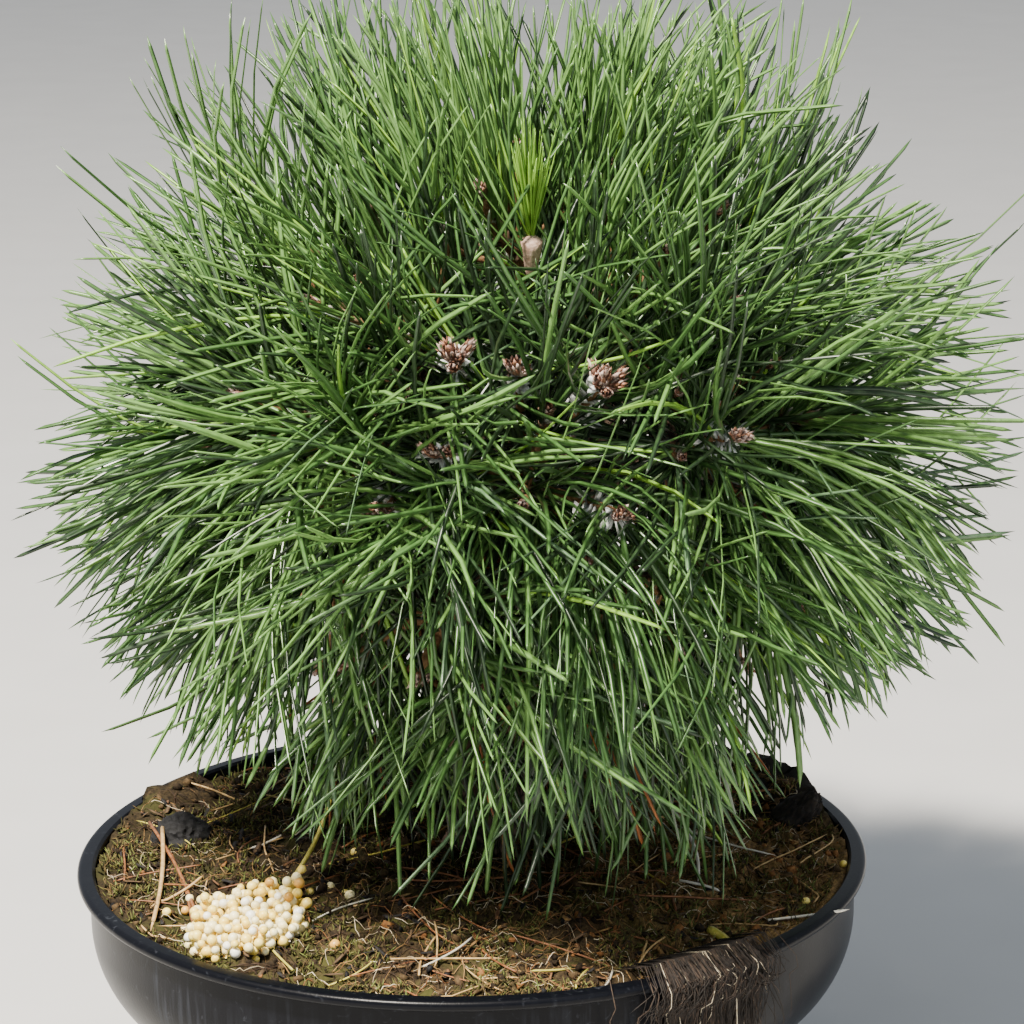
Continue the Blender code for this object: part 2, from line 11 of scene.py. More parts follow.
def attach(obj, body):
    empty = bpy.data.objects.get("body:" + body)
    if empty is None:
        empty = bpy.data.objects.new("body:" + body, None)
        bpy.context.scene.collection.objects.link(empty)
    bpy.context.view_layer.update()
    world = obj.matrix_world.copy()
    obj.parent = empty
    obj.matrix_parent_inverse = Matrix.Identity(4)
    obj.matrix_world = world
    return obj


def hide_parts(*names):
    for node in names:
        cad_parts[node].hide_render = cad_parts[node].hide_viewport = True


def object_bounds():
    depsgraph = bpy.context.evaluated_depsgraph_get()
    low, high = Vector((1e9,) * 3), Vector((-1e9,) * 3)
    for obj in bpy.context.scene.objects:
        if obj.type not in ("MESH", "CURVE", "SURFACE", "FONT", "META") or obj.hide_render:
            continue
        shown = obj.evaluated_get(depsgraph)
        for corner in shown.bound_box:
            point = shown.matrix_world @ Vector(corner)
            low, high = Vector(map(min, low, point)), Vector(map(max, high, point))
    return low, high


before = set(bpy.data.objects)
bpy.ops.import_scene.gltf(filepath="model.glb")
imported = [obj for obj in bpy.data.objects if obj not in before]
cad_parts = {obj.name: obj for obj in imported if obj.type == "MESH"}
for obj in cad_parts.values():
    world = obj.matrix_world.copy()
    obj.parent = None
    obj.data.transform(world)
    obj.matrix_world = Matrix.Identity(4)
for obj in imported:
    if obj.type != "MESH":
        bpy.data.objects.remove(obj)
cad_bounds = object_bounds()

# Camera: it stands 0.8 m in front of the bowl's rim, a little above the crown, and looks down on the plant.
# The slight roll is that of a camera held in the hand.
CAMERA_PLACE = (0.0127, -0.9372, 0.4236)
CAMERA_PITCH = math.radians(15)
CAMERA_ROLL = math.radians(0.9)
CAMERA_LENS = 124.9

camera = bpy.data.objects.new("camera", bpy.data.cameras.new("camera"))
bpy.context.scene.collection.objects.link(camera)
camera.data.lens = CAMERA_LENS
camera.data.sensor_width = 36.0
camera.data.clip_start = 0.05
camera.matrix_world = (
    Matrix.Translation(CAMERA_PLACE)
    @ Matrix.Rotation(math.pi / 2 - CAMERA_PITCH, 4, "X")
    @ Matrix.Rotation(-CAMERA_ROLL, 4, "Z")
)
bpy.context.scene.camera = camera

# Stage: a pale painted floor under a large soft lamp, high on the left, and a pale surround.
# The lamp stands for the sun of a bright day, so it is the stronger of the two.
FLOOR_SIZE = 14.0
FLOOR_COLOURS = ("#BDBDBC", "#C6C6C5")
FLOOR_MOTTLE_MM = 45.0
SURROUND_COLOUR = "#DCE4EE"
SURROUND_STRENGTH = 0.66
SUN_PLACE = (-0.62, -0.80, 1.90)
SUN_SIZE = 0.20
SUN_POWER = 198.0
SUN_COLOUR = "#FFF6E8"
FILL_PLACE = (1.3, -1.2, 0.9)
FILL_SIZE = 1.6
FILL_POWER = 8.0
LAMP_AIM = Vector((0.0, 0.0, 0.17))


def linear(colour):
    """Turn an sRGB hex colour into linear red, green, blue and alpha."""
    channels = [int(colour[start:start + 2], 16) / 255 for start in (1, 3, 5)]
    return (*(c / 12.92 if c <= 0.04045 else ((c + 0.055) / 1.055) ** 2.4 for c in channels), 1.0)


def add_node(material, kind, inputs=None, **settings):
    """Add a node with its settings, and fill its inputs with values or with other nodes' outputs."""
    tree = material.node_tree
    node = tree.nodes.new(kind)
    for name, value in settings.items():
        setattr(node, name, value)
    for key, value in (inputs or {}).items():
        if isinstance(value, bpy.types.NodeSocket):
            tree.links.new(value, node.inputs[key])
        else:
            node.inputs[key].default_value = value
    return node


def new_finish(name, roughness, **values):
    """Make a material, and give it with its shader and the place on the piece that patterns read."""
    material = bpy.data.materials.new(name)
    material.use_nodes = True
    shader = material.node_tree.nodes["Principled BSDF"]
    shader.inputs["Roughness"].default_value = roughness
    for key, value in values.items():
        shader.inputs[key.replace("_", " ")].default_value = value
    place = add_node(material, "ShaderNodeTexCoord").outputs["Object"]
    return material, shader, place


def cells_of(size_mm):
    """Give the scale of a pattern in Object coordinates whose cells are that many millimetres wide."""
    return 1000.0 / size_mm


def add_layer(material, under, over, signal, start, end, at_start=0.0, at_end=1.0):
    """Lay a colour over another by a share that a signal drives, and give the mixed colour."""
    share = add_node(material, "ShaderNodeMapRange", {0: signal, 1: start, 2: end, 3: at_start, 4: at_end})
    values = {0: share.outputs[0]}
    for key, colour in ((6, under), (7, over)):
        values[key] = linear(colour) if isinstance(colour, str) else colour
    return add_node(material, "ShaderNodeMix", values, data_type="RGBA").outputs[2]


def object_of(name, mesh, *finishes):
    """Put a mesh in the scene with its finishes."""
    piece = bpy.data.objects.new(name, mesh)
    bpy.context.scene.collection.objects.link(piece)
    for material in finishes:
        mesh.materials.append(material)
    return piece


floor_mesh = bpy.data.meshes.new("floor")
bm = bmesh.new()
bmesh.ops.create_grid(bm, x_segments=1, y_segments=1, size=FLOOR_SIZE / 2)
bm.to_mesh(floor_mesh)
bm.free()

# Matt floor paint: pale grey, faintly uneven, with no shine.
floor_paint, shader, place = new_finish("matt_floor_paint", 0.9)
mottle = add_node(floor_paint, "ShaderNodeTexNoise", {"Vector": place, "Scale": cells_of(FLOOR_MOTTLE_MM)})
tint = add_layer(floor_paint, *FLOOR_COLOURS, mottle.outputs[0], 0.0, 1.0)
floor_paint.node_tree.links.new(tint, shader.inputs["Base Color"])
floor = object_of("floor", floor_mesh, floor_paint)

world = bpy.data.worlds.new("surround")
world.use_nodes = True
world.node_tree.nodes["Background"].inputs[0].default_value = linear(SURROUND_COLOUR)
world.node_tree.nodes["Background"].inputs[1].default_value = SURROUND_STRENGTH
bpy.context.scene.world = world

for name, spot, size, power, colour in (
    ("sun_lamp", SUN_PLACE, SUN_SIZE, SUN_POWER, SUN_COLOUR),
    ("fill_lamp", FILL_PLACE, FILL_SIZE, FILL_POWER, SURROUND_COLOUR),
):
    lamp = bpy.data.objects.new(name, bpy.data.lights.new(name, "AREA"))
    bpy.context.scene.collection.objects.link(lamp)
    lamp.data.size = size
    lamp.data.energy = power
    lamp.data.color = linear(colour)[:3]
    aim = LAMP_AIM - Vector(spot)
    lamp.matrix_world = Matrix.Translation(spot) @ aim.to_track_quat("-Z", "Y").to_matrix().to_4x4()

# Bowl: a shallow nursery bowl of black polypropylene, moulded in one shot with a rounded lip turned out over
# the wall. The wall drops a short way, then draws in to a flat foot with six drain holes.
RIM_RADIUS = 0.110
BOWL_HEIGHT = 0.075
LIP_REACH = 0.0033
LIP_THICKNESS = 0.003
WALL_THICKNESS = 0.0016
WALL_RADIUS = RIM_RADIUS - LIP_REACH
UPRIGHT_DEPTH = 0.015
TURN_RADIUS = 0.029
TURN_ANGLE = math.radians(43)
TURN_STEPS = 14
LIP_STEPS = 12
BOWL_STEPS = 160
DRAIN_HOLES = 6
DRAIN_RADIUS = 0.004
DRAIN_CIRCLE = 0.044
DRAIN_TURN = math.radians(3.75)
SEAT_GAP = 0.0003


def wall_profile(inset):
    """Give the bowl's outer wall, moved inwards by the inset, from its upright part down to the foot."""
    centre_radius = WALL_RADIUS - TURN_RADIUS
    centre_height = BOWL_HEIGHT - UPRIGHT_DEPTH
    radius = TURN_RADIUS - inset
    points = []
    for step in range(TURN_STEPS + 1):
        angle = TURN_ANGLE * step / TURN_STEPS
        points.append((centre_radius + radius * math.cos(angle), centre_height - radius * math.sin(angle)))
    last_radius, last_height = points[-1]
    points.append((last_radius - (last_height - inset) * math.tan(TURN_ANGLE), inset))
    return points


def lip_arc(clearance):
    """Give the half round of the lip's outer edge, from its top to its underside."""
    half = LIP_THICKNESS / 2
    reach = half + clearance
    points = []
    for step in range(LIP_STEPS + 1):
        angle = math.pi / 2 - math.pi * step / LIP_STEPS
        radius = RIM_RADIUS - half + reach * math.cos(angle)
        points.append((radius, BOWL_HEIGHT - half + reach * math.sin(angle)))
    return points


def turned(profile, steps):
    """Turn a profile of radii and heights round the Z axis, and close its poles."""
    bm = bmesh.new()
    verts = [bm.verts.new((radius, 0.0, height)) for radius, height in profile]
    edges = [bm.edges.new(pair) for pair in zip(verts, verts[1:])]
    bmesh.ops.spin(
        bm,
        geom=verts + edges,
        cent=(0, 0, 0),
        axis=(0, 0, 1),
        angle=math.tau,
        steps=steps,
        use_merge=True,
        use_duplicate=False,
    )
    bmesh.ops.remove_doubles(bm, verts=bm.verts, dist=0.000002)
    bmesh.ops.recalc_face_normals(bm, faces=bm.faces)
    return bm


def mesh_of(name, bm, smooth_angle=40):
    """Turn a bmesh into a smooth-shaded mesh that keeps its sharp edges."""
    mesh = bpy.data.meshes.new(name)
    bm.to_mesh(mesh)
    bm.free()
    mesh.shade_smooth()
    mesh.set_sharp_from_angle(angle=math.radians(smooth_angle))
    return mesh


def set_surface(material, shader, colour, height, strength, depth):
    """Give a finish its colour, and a relief of that depth in metres."""
    relief = add_node(material, "ShaderNodeBump", {"Strength": strength, "Distance": depth, "Height": height})
    material.node_tree.links.new(colour, shader.inputs["Base Color"])
    material.node_tree.links.new(relief.outputs[0], shader.inputs["Normal"])


def mount(piece, node=None):
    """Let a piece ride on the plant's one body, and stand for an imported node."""
    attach(piece, "root")
    if node:
        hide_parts(node)


half_lip = LIP_THICKNESS / 2
inner_lip = WALL_RADIUS - WALL_THICKNESS
bowl_profile = [(0.0, WALL_THICKNESS)] + list(reversed(wall_profile(WALL_THICKNESS)))
bowl_profile += [(inner_lip, BOWL_HEIGHT - half_lip / 2), (inner_lip + half_lip / 2, BOWL_HEIGHT)]
bowl_profile += lip_arc(0.0) + [(WALL_RADIUS, BOWL_HEIGHT - LIP_THICKNESS)]
bowl_profile += wall_profile(0.0) + [(0.0, 0.0)]
bowl = object_of("planting_bowl", mesh_of("planting_bowl", turned(bowl_profile, BOWL_STEPS)))

bm = bmesh.new()
for index in range(DRAIN_HOLES):
    angle = math.tau * (index + 0.5) / DRAIN_HOLES + DRAIN_TURN
    spot = Matrix.Translation((DRAIN_CIRCLE * math.cos(angle), DRAIN_CIRCLE * math.sin(angle), 0.0))
    bmesh.ops.create_cone(
        bm, cap_ends=True, segments=24, radius1=DRAIN_RADIUS, radius2=DRAIN_RADIUS, depth=0.02, matrix=spot
    )
drills = object_of("drills", mesh_of("drills", bm))
cut = bowl.modifiers.new("drain_holes", "BOOLEAN")
cut.object = drills
bpy.context.view_layer.update()
drilled = bpy.data.meshes.new_from_object(bowl.evaluated_get(bpy.context.evaluated_depsgraph_get()))
bowl.modifiers.clear()
bowl.data = drilled
bpy.data.objects.remove(drills, do_unlink=True)

# Black polypropylene, moulded: near black with a soft sheen. Rain and hard water have left pale streaks that
# run down the wall, and handling has left fine grey scuffs round the lip.
STREAK_WIDTH_MM = 2.4
STREAK_PATCH_MM = 38.0
SCUFF_MM = 3.0
MOULD_GRAIN_MM = 0.7
STREAK_SQUEEZE = 0.09
polypropylene, shader, place = new_finish("moulded_polypropylene", 0.30, Specular_IOR_Level=0.12)
split = add_node(polypropylene, "ShaderNodeSeparateXYZ", {0: place})
level = add_node(polypropylene, "ShaderNodeCombineXYZ", {0: split.outputs[0], 1: split.outputs[1]})
outward = add_node(polypropylene, "ShaderNodeVectorMath", {0: level.outputs[0]}, operation="NORMALIZE")
squeezed = add_node(
    polypropylene, "ShaderNodeMath", {0: split.outputs[2], 1: STREAK_SQUEEZE}, operation="MULTIPLY"
)
drop = add_node(polypropylene, "ShaderNodeCombineXYZ", {2: squeezed.outputs[0]})
unrolled = add_node(
    polypropylene,
    "ShaderNodeVectorMath",
    {0: outward.outputs[0], 1: (WALL_RADIUS, WALL_RADIUS, 0.0), 2: drop.outputs[0]},
    operation="MULTIPLY_ADD",
)
patterns = []
for spot, size_mm, detail, roughness, distortion in (
    (unrolled.outputs[0], STREAK_WIDTH_MM, 3.0, 0.6, 0.0),
    (place, STREAK_PATCH_MM, 2.0, 0.5, 0.0),
    (place, SCUFF_MM, 5.0, 0.5, 1.5),
    (place, MOULD_GRAIN_MM, 2.0, 0.5, 0.0),
):
    values = {"Vector": spot, "Scale": cells_of(size_mm), "Detail": detail, "Roughness": roughness}
    values["Distortion"] = distortion
    patterns.append(add_node(polypropylene, "ShaderNodeTexNoise", values).outputs[0])
streaks, patches, scuffs, grain = patterns
# The streaks show in patches, and hardly at all on the lip
chalk = 1.0
for signal, start, end, least, most in (
    (streaks, 0.50, 0.72, 0.0, 1.0),
    (patches, 0.44, 0.68, 0.04, 0.55),
    (split.outputs[2], BOWL_HEIGHT - LIP_THICKNESS, BOWL_HEIGHT - 2 * LIP_THICKNESS, 0.12, 1.0),
):
    mask = add_node(polypropylene, "ShaderNodeMapRange", {0: signal, 1: start, 2: end, 3: least, 4: most})
    product = add_node(polypropylene, "ShaderNodeMath", {0: mask.outputs[0], 1: chalk}, operation="MULTIPLY")
    chalk = product.outputs[0]
plastic = add_layer(polypropylene, "#08090E", "#3E424A", chalk, 0.0, 1.0)
plastic = add_layer(polypropylene, plastic, "#4C5058", scuffs, 0.62, 0.75, 0.0, 0.25)
dull = add_node(polypropylene, "ShaderNodeMapRange", {0: chalk, 1: 0.0, 2: 0.6, 3: 0.30, 4: 0.5})
polypropylene.node_tree.links.new(dull.outputs[0], shader.inputs["Roughness"])
set_surface(polypropylene, shader, plastic, grain, 0.12, 0.0002)
bowl.data.materials.clear()
bowl.data.materials.append(polypropylene)
mount(bowl, "bowl")

# Growing mix: damp peat with bark fines, mounded a little under the trunk and settled below the rim.
# Moss has taken hold on top. It fills the bowl down to the floor.
SOIL_EDGE = BOWL_HEIGHT - 0.0055
SOIL_TOP = BOWL_HEIGHT + 0.0020
SOIL_BUMP = 0.0018
SOIL_BUMP_SPACING = 0.017
SOIL_FLAT_RADIUS = 0.020
SOIL_FALL = 2.2
MIX_RINGS = 96
MIX_STEPS = 240
CLUMP_SIZES = ((0.0022, 0.0062), (0.0020, 0.0029), (0.0007, 0.0012))
# Where the mix is banked against the rim and over it: its direction, its half width and its rise
RIM_BANKS = (
    (math.radians(33), math.radians(23), 0.0095),
    (math.radians(66), math.radians(16), 0.0065),
    (math.radians(151), math.radians(15), 0.0070),
    (math.radians(-122), math.radians(9), 0.0025),
    (math.radians(-18), math.radians(26), 0.0044),
    (math.radians(-78), math.radians(24), 0.0022),
    (math.radians(-168), math.radians(34), 0.0036),
)
BANK_WIDTH = 0.022
BANK_SPILL = 0.0055
BANK_FALL = 1.4


def ground_height(x, y):
    """Give the height of the mix: a low mound with lumps, flat where the trunk stands."""
    radius = math.hypot(x, y)
    share = min(radius / WALL_RADIUS, 1.0)
    mound = SOIL_TOP + (SOIL_EDGE - SOIL_TOP) * share**SOIL_FALL
    lumps = SOIL_BUMP * noise.noise(Vector((x, y, 0.37)) / SOIL_BUMP_SPACING)
    away = min(max((radius - SOIL_FLAT_RADIUS) / SOIL_FLAT_RADIUS, 0.0), 1.0)
    return SOIL_TOP * (1.0 - away) + (mound + lumps) * away


def bank_rise(x, y):
    """Give how far the mix is banked up at a place by the rim."""
    near_rim = min(max(1.0 - (WALL_RADIUS - math.hypot(x, y)) / BANK_WIDTH, 0.0), 1.0)
    turn = math.atan2(y, x)
    rise = 0.0
    for middle, half_width, height in RIM_BANKS:
        away = math.remainder(turn - middle, math.tau) / half_width
        rise += height * math.exp(-away * away)
    return rise * near_rim**BANK_FALL


def mix_height(x, y):
    """Give the height of the finished surface: the mix with its crumbs, banked up in places at the rim."""
    height = ground_height(x, y) + bank_rise(x, y)
    for depth, spacing in CLUMP_SIZES:
        height += depth * noise.noise(Vector((x, y, 0.21)) / spacing)
    return height


mix_edge = WALL_RADIUS - WALL_THICKNESS - SEAT_GAP
mix_profile = [(mix_edge * step / MIX_RINGS, SOIL_EDGE) for step in range(MIX_RINGS + 1)]
mix_neck = SOIL_EDGE - 2 * SEAT_GAP
mix_inset = WALL_THICKNESS + SEAT_GAP
mix_profile += [(mix_edge, mix_neck)] + wall_profile(mix_inset) + [(0.0, mix_inset)]
bm = turned(mix_profile, MIX_STEPS)
for vert in bm.verts:
    rise = bank_rise(vert.co.x, vert.co.y)
    if vert.co.z > SOIL_EDGE - SEAT_GAP:
        spill = min(max(rise - BANK_SPILL, 0.0) / LIP_THICKNESS, 1.0)
        edge = max(math.hypot(vert.co.x, vert.co.y) / mix_edge - 0.9, 0.0) * 10
        vert.co.z = mix_height(vert.co.x, vert.co.y)
        vert.co.xy *= 1.0 + spill * edge * BANK_SPILL / mix_edge
    elif vert.co.z > mix_neck - SEAT_GAP:
        vert.co.z = min(mix_neck + rise, BOWL_HEIGHT + SEAT_GAP)
mix = object_of("growing_mix", mesh_of("growing_mix", bm, 180))

# Damp peat and moss: dark brown and quite matt, blotched with olive moss and rust-coloured bark fines.
MOSS_PATCH_MM = 16.0
PEAT_GRAIN_MM = 1.1
peat, shader, place = new_finish("damp_peat_and_moss", 0.88, Specular_IOR_Level=0.15)
patterns = []
for size_mm, roughness in ((PEAT_GRAIN_MM, 0.7), (MOSS_PATCH_MM, 0.6)):
    values = {"Vector": place, "Scale": cells_of(size_mm), "Detail": 4.0, "Roughness": roughness}
    patterns.append(add_node(peat, "ShaderNodeTexNoise", values).outputs[0])
grain, patches = patterns
earth = add_layer(peat, "#1A140D", "#4A3D28", grain, 0.36, 0.68)
earth = add_layer(peat, earth, "#43451F", patches, 0.47, 0.59, 0.0, 0.7)
# A lighter, more amber peat colour laid on the right as painted sunlight
painted_sunlit_earth = add_layer(peat, "#54422A", "#B08C58", grain, 0.36, 0.68)
# The left is darker, partly damp peat with algae and partly painted shade; the right is lighter and more
# amber, which is painted sunlight; and the mix banked up at the right back is near black, which is painted
# shade: each one's middle, the radii between which it fades, and its share
for middle, inner, outer, share, colour in (
    ((-0.085, -0.005, BOWL_HEIGHT), 0.025, 0.080, 0.55, "#1D1A10"),
    ((0.085, -0.030, BOWL_HEIGHT), 0.030, 0.066, 0.80, painted_sunlit_earth),
    ((0.087, 0.052, BOWL_HEIGHT), 0.020, 0.046, 0.86, "#15110D"),
):
    away = add_node(peat, "ShaderNodeVectorMath", {0: place, 1: middle}, operation="DISTANCE")
    earth = add_layer(peat, earth, colour, away.outputs["Value"], inner, outer, share, 0.0)
set_surface(peat, shader, earth, grain, 0.7, 0.0006)
mix.data.materials.append(peat)
mount(mix, "soil")

# Litter on the mix: crumbs of peat and bark, tufts of moss, and root fibres that lie in loose curves.
# Each kind is thousands of small pieces joined into one mesh, in a few plain colours.
CRUMBS = 3600
CRUMB_SIZE = (0.0003, 0.0015)
CRUMB_SKEW = 2.2
CRUMB_ROUGHNESS = 0.6
CRUMB_STRETCH = (0.6, 1.3)
CRUMB_SEAT = 0.25
MOSS_STRANDS = 17000
MOSS_LENGTH = (0.0014, 0.0042)
MOSS_WIDTH = 0.00024
MOSS_TUFT = 0.012
MOSS_TUFT_SPREAD = 0.12
MOSS_LEAN = (0.8, 0.8, 0.25)
MOSS_RISE = (0.0, 0.0, 0.75)
FIBRES = 3000
FIBRE_LENGTH = (0.003, 0.017)
FIBRE_RADIUS = (0.00006, 0.00015)
LITTER_REACH = 0.96
LITTER_STOP = 0.97
LITTER_ARCH = 0.0018
REST_SHARE = 0.6
# How far right of the middle the lighter litter, dealt as painted sunlight, has fully taken over from the
# darker litter of the left
PAINTED_LIGHT_SIDE_START = 0.040
UPWARD = (0.0, 0.0, 1.0)
LITTER_SEED = 11


def plain_finish(name, low, high, grain_mm, roughness, bump=0.3, **values):
    """Make the finish of many small alike things: two near colours in a fine grain, with a light relief."""
    material, shader, place = new_finish(name, roughness, **values)
    values = {"Vector": place, "Scale": cells_of(grain_mm), "Detail": 3.0}
    grain = add_node(material, "ShaderNodeTexNoise", values).outputs[0]
    colour = add_layer(material, low, high, grain, 0.35, 0.65)
    set_surface(material, shader, colour, grain, bump, 0.0003)
    return material


def joined(name, shapes, faces, finishes, deal, smooth=True):
    """Join many copies of one shape into a piece: their corners, the faces, and the finish of each."""
    count, corners = shapes.shape[:2]
    faces = np.asarray(faces)
    index = (faces[None] + (np.arange(count) * corners)[:, None, None]).reshape(-1)
    mesh = bpy.data.meshes.new(name)
    mesh.vertices.add(count * corners)
    mesh.vertices.foreach_set("co", shapes.astype(np.float32).reshape(-1))
    mesh.loops.add(len(index))
    mesh.loops.foreach_set("vertex_index", index.astype(np.int32))
    mesh.polygons.add(count * len(faces))
    mesh.polygons.foreach_set("loop_start", (np.arange(count * len(faces)) * 3).astype(np.int32))
    mesh.polygons.foreach_set("material_index", np.repeat(np.asarray(deal), len(faces)).astype(np.int32))
    mesh.update(calc_edges=True)
    if smooth:
        mesh.shade_smooth()
    return object_of(name, mesh, *finishes)


def ball_shape(subdivisions):
    """Give the corners and the triangles of a small ball."""
    bm = bmesh.new()
    bmesh.ops.create_icosphere(bm, subdivisions=subdivisions, radius=1.0)
    bm.verts.ensure_lookup_table()
    corners = np.array([vert.co[:] for vert in bm.verts])
    faces = np.array([[vert.index for vert in face.verts] for face in bm.faces])
    bm.free()
    return corners, faces


def unit(vectors):
    """Scale vectors to length one."""
    return vectors / np.maximum(np.linalg.norm(vectors, axis=-1, keepdims=True), 1e-9)


def strands(lines, widths, section, beside):
    """Sweep a section along many lines at once, from a closed foot to a point at the line's last place.

    The section is a list of (across, over) in widths, and beside gives each strand's direction over,
    or one for all."""
    lines = np.asarray(lines, dtype=float)
    section = np.asarray(section, dtype=float)
    along = unit(np.gradient(lines, axis=1))
    over = np.broadcast_to(np.asarray(beside, dtype=float).reshape(-1, 1, 3), along.shape)
    across = unit(np.cross(along, over))
    over = np.cross(across, along)
    size = np.asarray(widths, dtype=float)[:, :-1, None, None]
    rings = lines[:, :-1, None, :] + size * (
        section[None, None, :, 0, None] * across[:, :-1, None, :]
        + section[None, None, :, 1, None] * over[:, :-1, None, :]
    )
    count = len(lines)
    corners = np.concatenate([rings.reshape(count, -1, 3), lines[:, -1:, :]], axis=1)
    sides = len(section)
    spans = lines.shape[1] - 2
    faces = [(0, side, side + 1) for side in range(1, sides - 1)]
    for span in range(spans):
        for side in range(sides):
            a = span * sides + side
            b = span * sides + (side + 1) % sides
            faces += [(a, a + sides, b + sides), (a, b + sides, b)]
    last = spans * sides
    tip = corners.shape[1] - 1
    faces += [(last + side, tip, last + (side + 1) % sides) for side in range(sides)]
    return corners, faces


def strand_piece(name, slot, lines, widths, section, beside, finishes, deal, node=None):
    """Sweep strands, join them into one piece and mount it."""
    corners, faces = strands(lines, widths, section, beside)
    mount(joined(name, corners, faces, finishes, deal), node)


def round_section(sides):
    """Give a round section with that many sides."""
    return [(math.cos(math.tau * side / sides), math.sin(math.tau * side / sides)) for side in range(sides)]


def random_turns(count, rng):
    """Give random rotations as matrices."""
    quaternions = unit(rng.normal(size=(count, 4)))
    w, x, y, z = quaternions.T
    rows = [
        1 - 2 * (y * y + z * z), 2 * (x * y - z * w), 2 * (x * z + y * w),
        2 * (x * y + z * w), 1 - 2 * (x * x + z * z), 2 * (y * z - x * w),
        2 * (x * z - y * w), 2 * (y * z + x * w), 1 - 2 * (x * x + y * y),
    ]
    return np.stack(rows, axis=-1).reshape(-1, 3, 3)


def spots_on_mix(count, rng, reach=0.985):
    """Scatter places over the mix, as x and y."""
    radius = np.sqrt(rng.uniform(0, 1, count)) * mix_edge * reach
    turn = rng.uniform(0, math.tau, count)
    return np.stack([radius * np.cos(turn), radius * np.sin(turn)], axis=-1)


def on_mix(places, lift):
    """Set places on the mix's surface, raised by the lift."""
    heights = [mix_height(x, y) for x, y in places]
    return np.column_stack([places, np.array(heights) + lift])


def dealt_by_side(across, left_shares, right_shares, rng):
    """Deal a finish to each piece of litter: a darker mix of them on the left, partly damp litter and partly
    painted shade, and a lighter mix on the right, which is painted sunlight.
    """
    left = rng.choice(len(left_shares), len(across), p=left_shares)
    right = rng.choice(len(right_shares), len(across), p=right_shares)
    chance = np.clip(across / (2 * PAINTED_LIGHT_SIDE_START) + 0.5, 0, 1)
    return np.where(rng.uniform(size=len(across)) < chance, right, left)


rng = np.random.default_rng(LITTER_SEED)
ball, ball_faces = ball_shape(1)
crumb_spots = spots_on_mix(CRUMBS, rng)
sizes = rng.uniform(0, 1, CRUMBS) ** CRUMB_SKEW * (CRUMB_SIZE[1] - CRUMB_SIZE[0]) + CRUMB_SIZE[0]
shapes = ball[None] * (1 + CRUMB_ROUGHNESS * rng.uniform(-1, 1, (CRUMBS, len(ball), 1)))
shapes *= sizes[:, None, None] * rng.uniform(*CRUMB_STRETCH, (CRUMBS, 1, 3))
shapes = np.einsum("nij,nkj->nki", random_turns(CRUMBS, rng), shapes)
shapes += on_mix(crumb_spots, sizes * CRUMB_SEAT)[:, None, :]
# Crumbled bark and peat, and living moss: matt, with hardly any gloss
crumb_finishes = [
    plain_finish(name, low, high, 0.8, roughness, Specular_IOR_Level=0.2)
    for name, low, high, roughness in (
        ("dark_peat_crumb", "#18120C", "#2F2518", 0.9),
        ("brown_bark_crumb", "#3C2F1D", "#5A4830", 0.85),
        ("rust_bark_crumb", "#6B4424", "#8C6238", 0.8),
        ("charred_crumb", "#08080A", "#1B1B1D", 0.7),
    )
]
# Darker shares on the left, partly damp litter and partly painted shade; lighter shares on the right, painted
# sunlight. The litter below is dealt the same way.
deal = dealt_by_side(crumb_spots[:, 0], (0.56, 0.30, 0.04, 0.10), (0.30, 0.46, 0.18, 0.06), rng)
mount(joined("peat_crumbs", shapes, ball_faces, crumb_finishes, deal, smooth=False))

spots = spots_on_mix(MOSS_STRANDS * 2, rng)
thick = np.array([noise.noise(Vector((x, y, 0.7)) / MOSS_TUFT) for x, y in spots])
thick += rng.normal(0, MOSS_TUFT_SPREAD, len(spots))
spots = spots[thick > np.median(thick)]
feet = on_mix(spots, -SEAT_GAP)
lean = unit(rng.normal(size=(len(spots), 3)) * MOSS_LEAN + MOSS_RISE)
length = rng.uniform(*MOSS_LENGTH, len(spots))
steps = np.array([0.0, 0.5, 1.0])
lines = feet[:, None, :] + lean[:, None, :] * (length[:, None] * steps)[:, :, None]
widths = np.full((len(spots), 3), MOSS_WIDTH)
beside = rng.normal(size=(len(spots), 3))
moss_finishes = [
    plain_finish(name, low, high, 1.0, roughness, Specular_IOR_Level=0.2)
    for name, low, high, roughness in (
        ("olive_moss", "#464823", "#6B6A38", 0.8),
        ("brown_moss", "#473B24", "#6C5B38", 0.85),
        ("green_moss", "#525E2D", "#768144", 0.8),
        ("damp_dark_moss", "#23220F", "#3A3A1E", 0.85),
    )
]
deal = dealt_by_side(spots[:, 0], (0.38, 0.22, 0.10, 0.30), (0.36, 0.50, 0.10, 0.04), rng)
strand_piece("moss_tufts", "peat_mix", lines, widths, round_section(3), beside, moss_finishes, deal)


def lying_strands(count, length_range, radius_range, points, wander, rng, stiff=False):
    """Lay strands over the mix in loose curves: limp ones follow it, and stiff ones rest on its lumps."""
    spots = spots_on_mix(count, rng, LITTER_REACH)
    heading = rng.uniform(0, math.tau, count)
    curl = rng.normal(0, wander, count)
    length = rng.uniform(*length_range, count)
    radius = rng.uniform(*radius_range, count)
    lines = np.zeros((count, points, 3))
    for number in range(count):
        x, y = spots[number]
        turn = heading[number]
        arch = rng.uniform(0.0, LITTER_ARCH)
        for step in range(points):
            share = step / (points - 1)
            inward = min(mix_edge * LITTER_STOP / math.hypot(x, y), 1.0)
            x *= inward
            y *= inward
            rise = radius[number] + arch * math.sin(math.pi * share)
            lines[number, step] = (x, y, mix_height(x, y) + rise)
            turn += (curl[number] + rng.normal(0, wander)) / points
            x += math.cos(turn) * length[number] / (points - 1)
            y += math.sin(turn) * length[number] / (points - 1)
        if stiff:
            heights = lines[number, :, 2]
            level = np.linspace(heights[0], heights[-1], points)
            lines[number, :, 2] = level + max((heights - level).max(), 0.0) * REST_SHARE
    return lines, np.repeat(radius[:, None], points, axis=1)


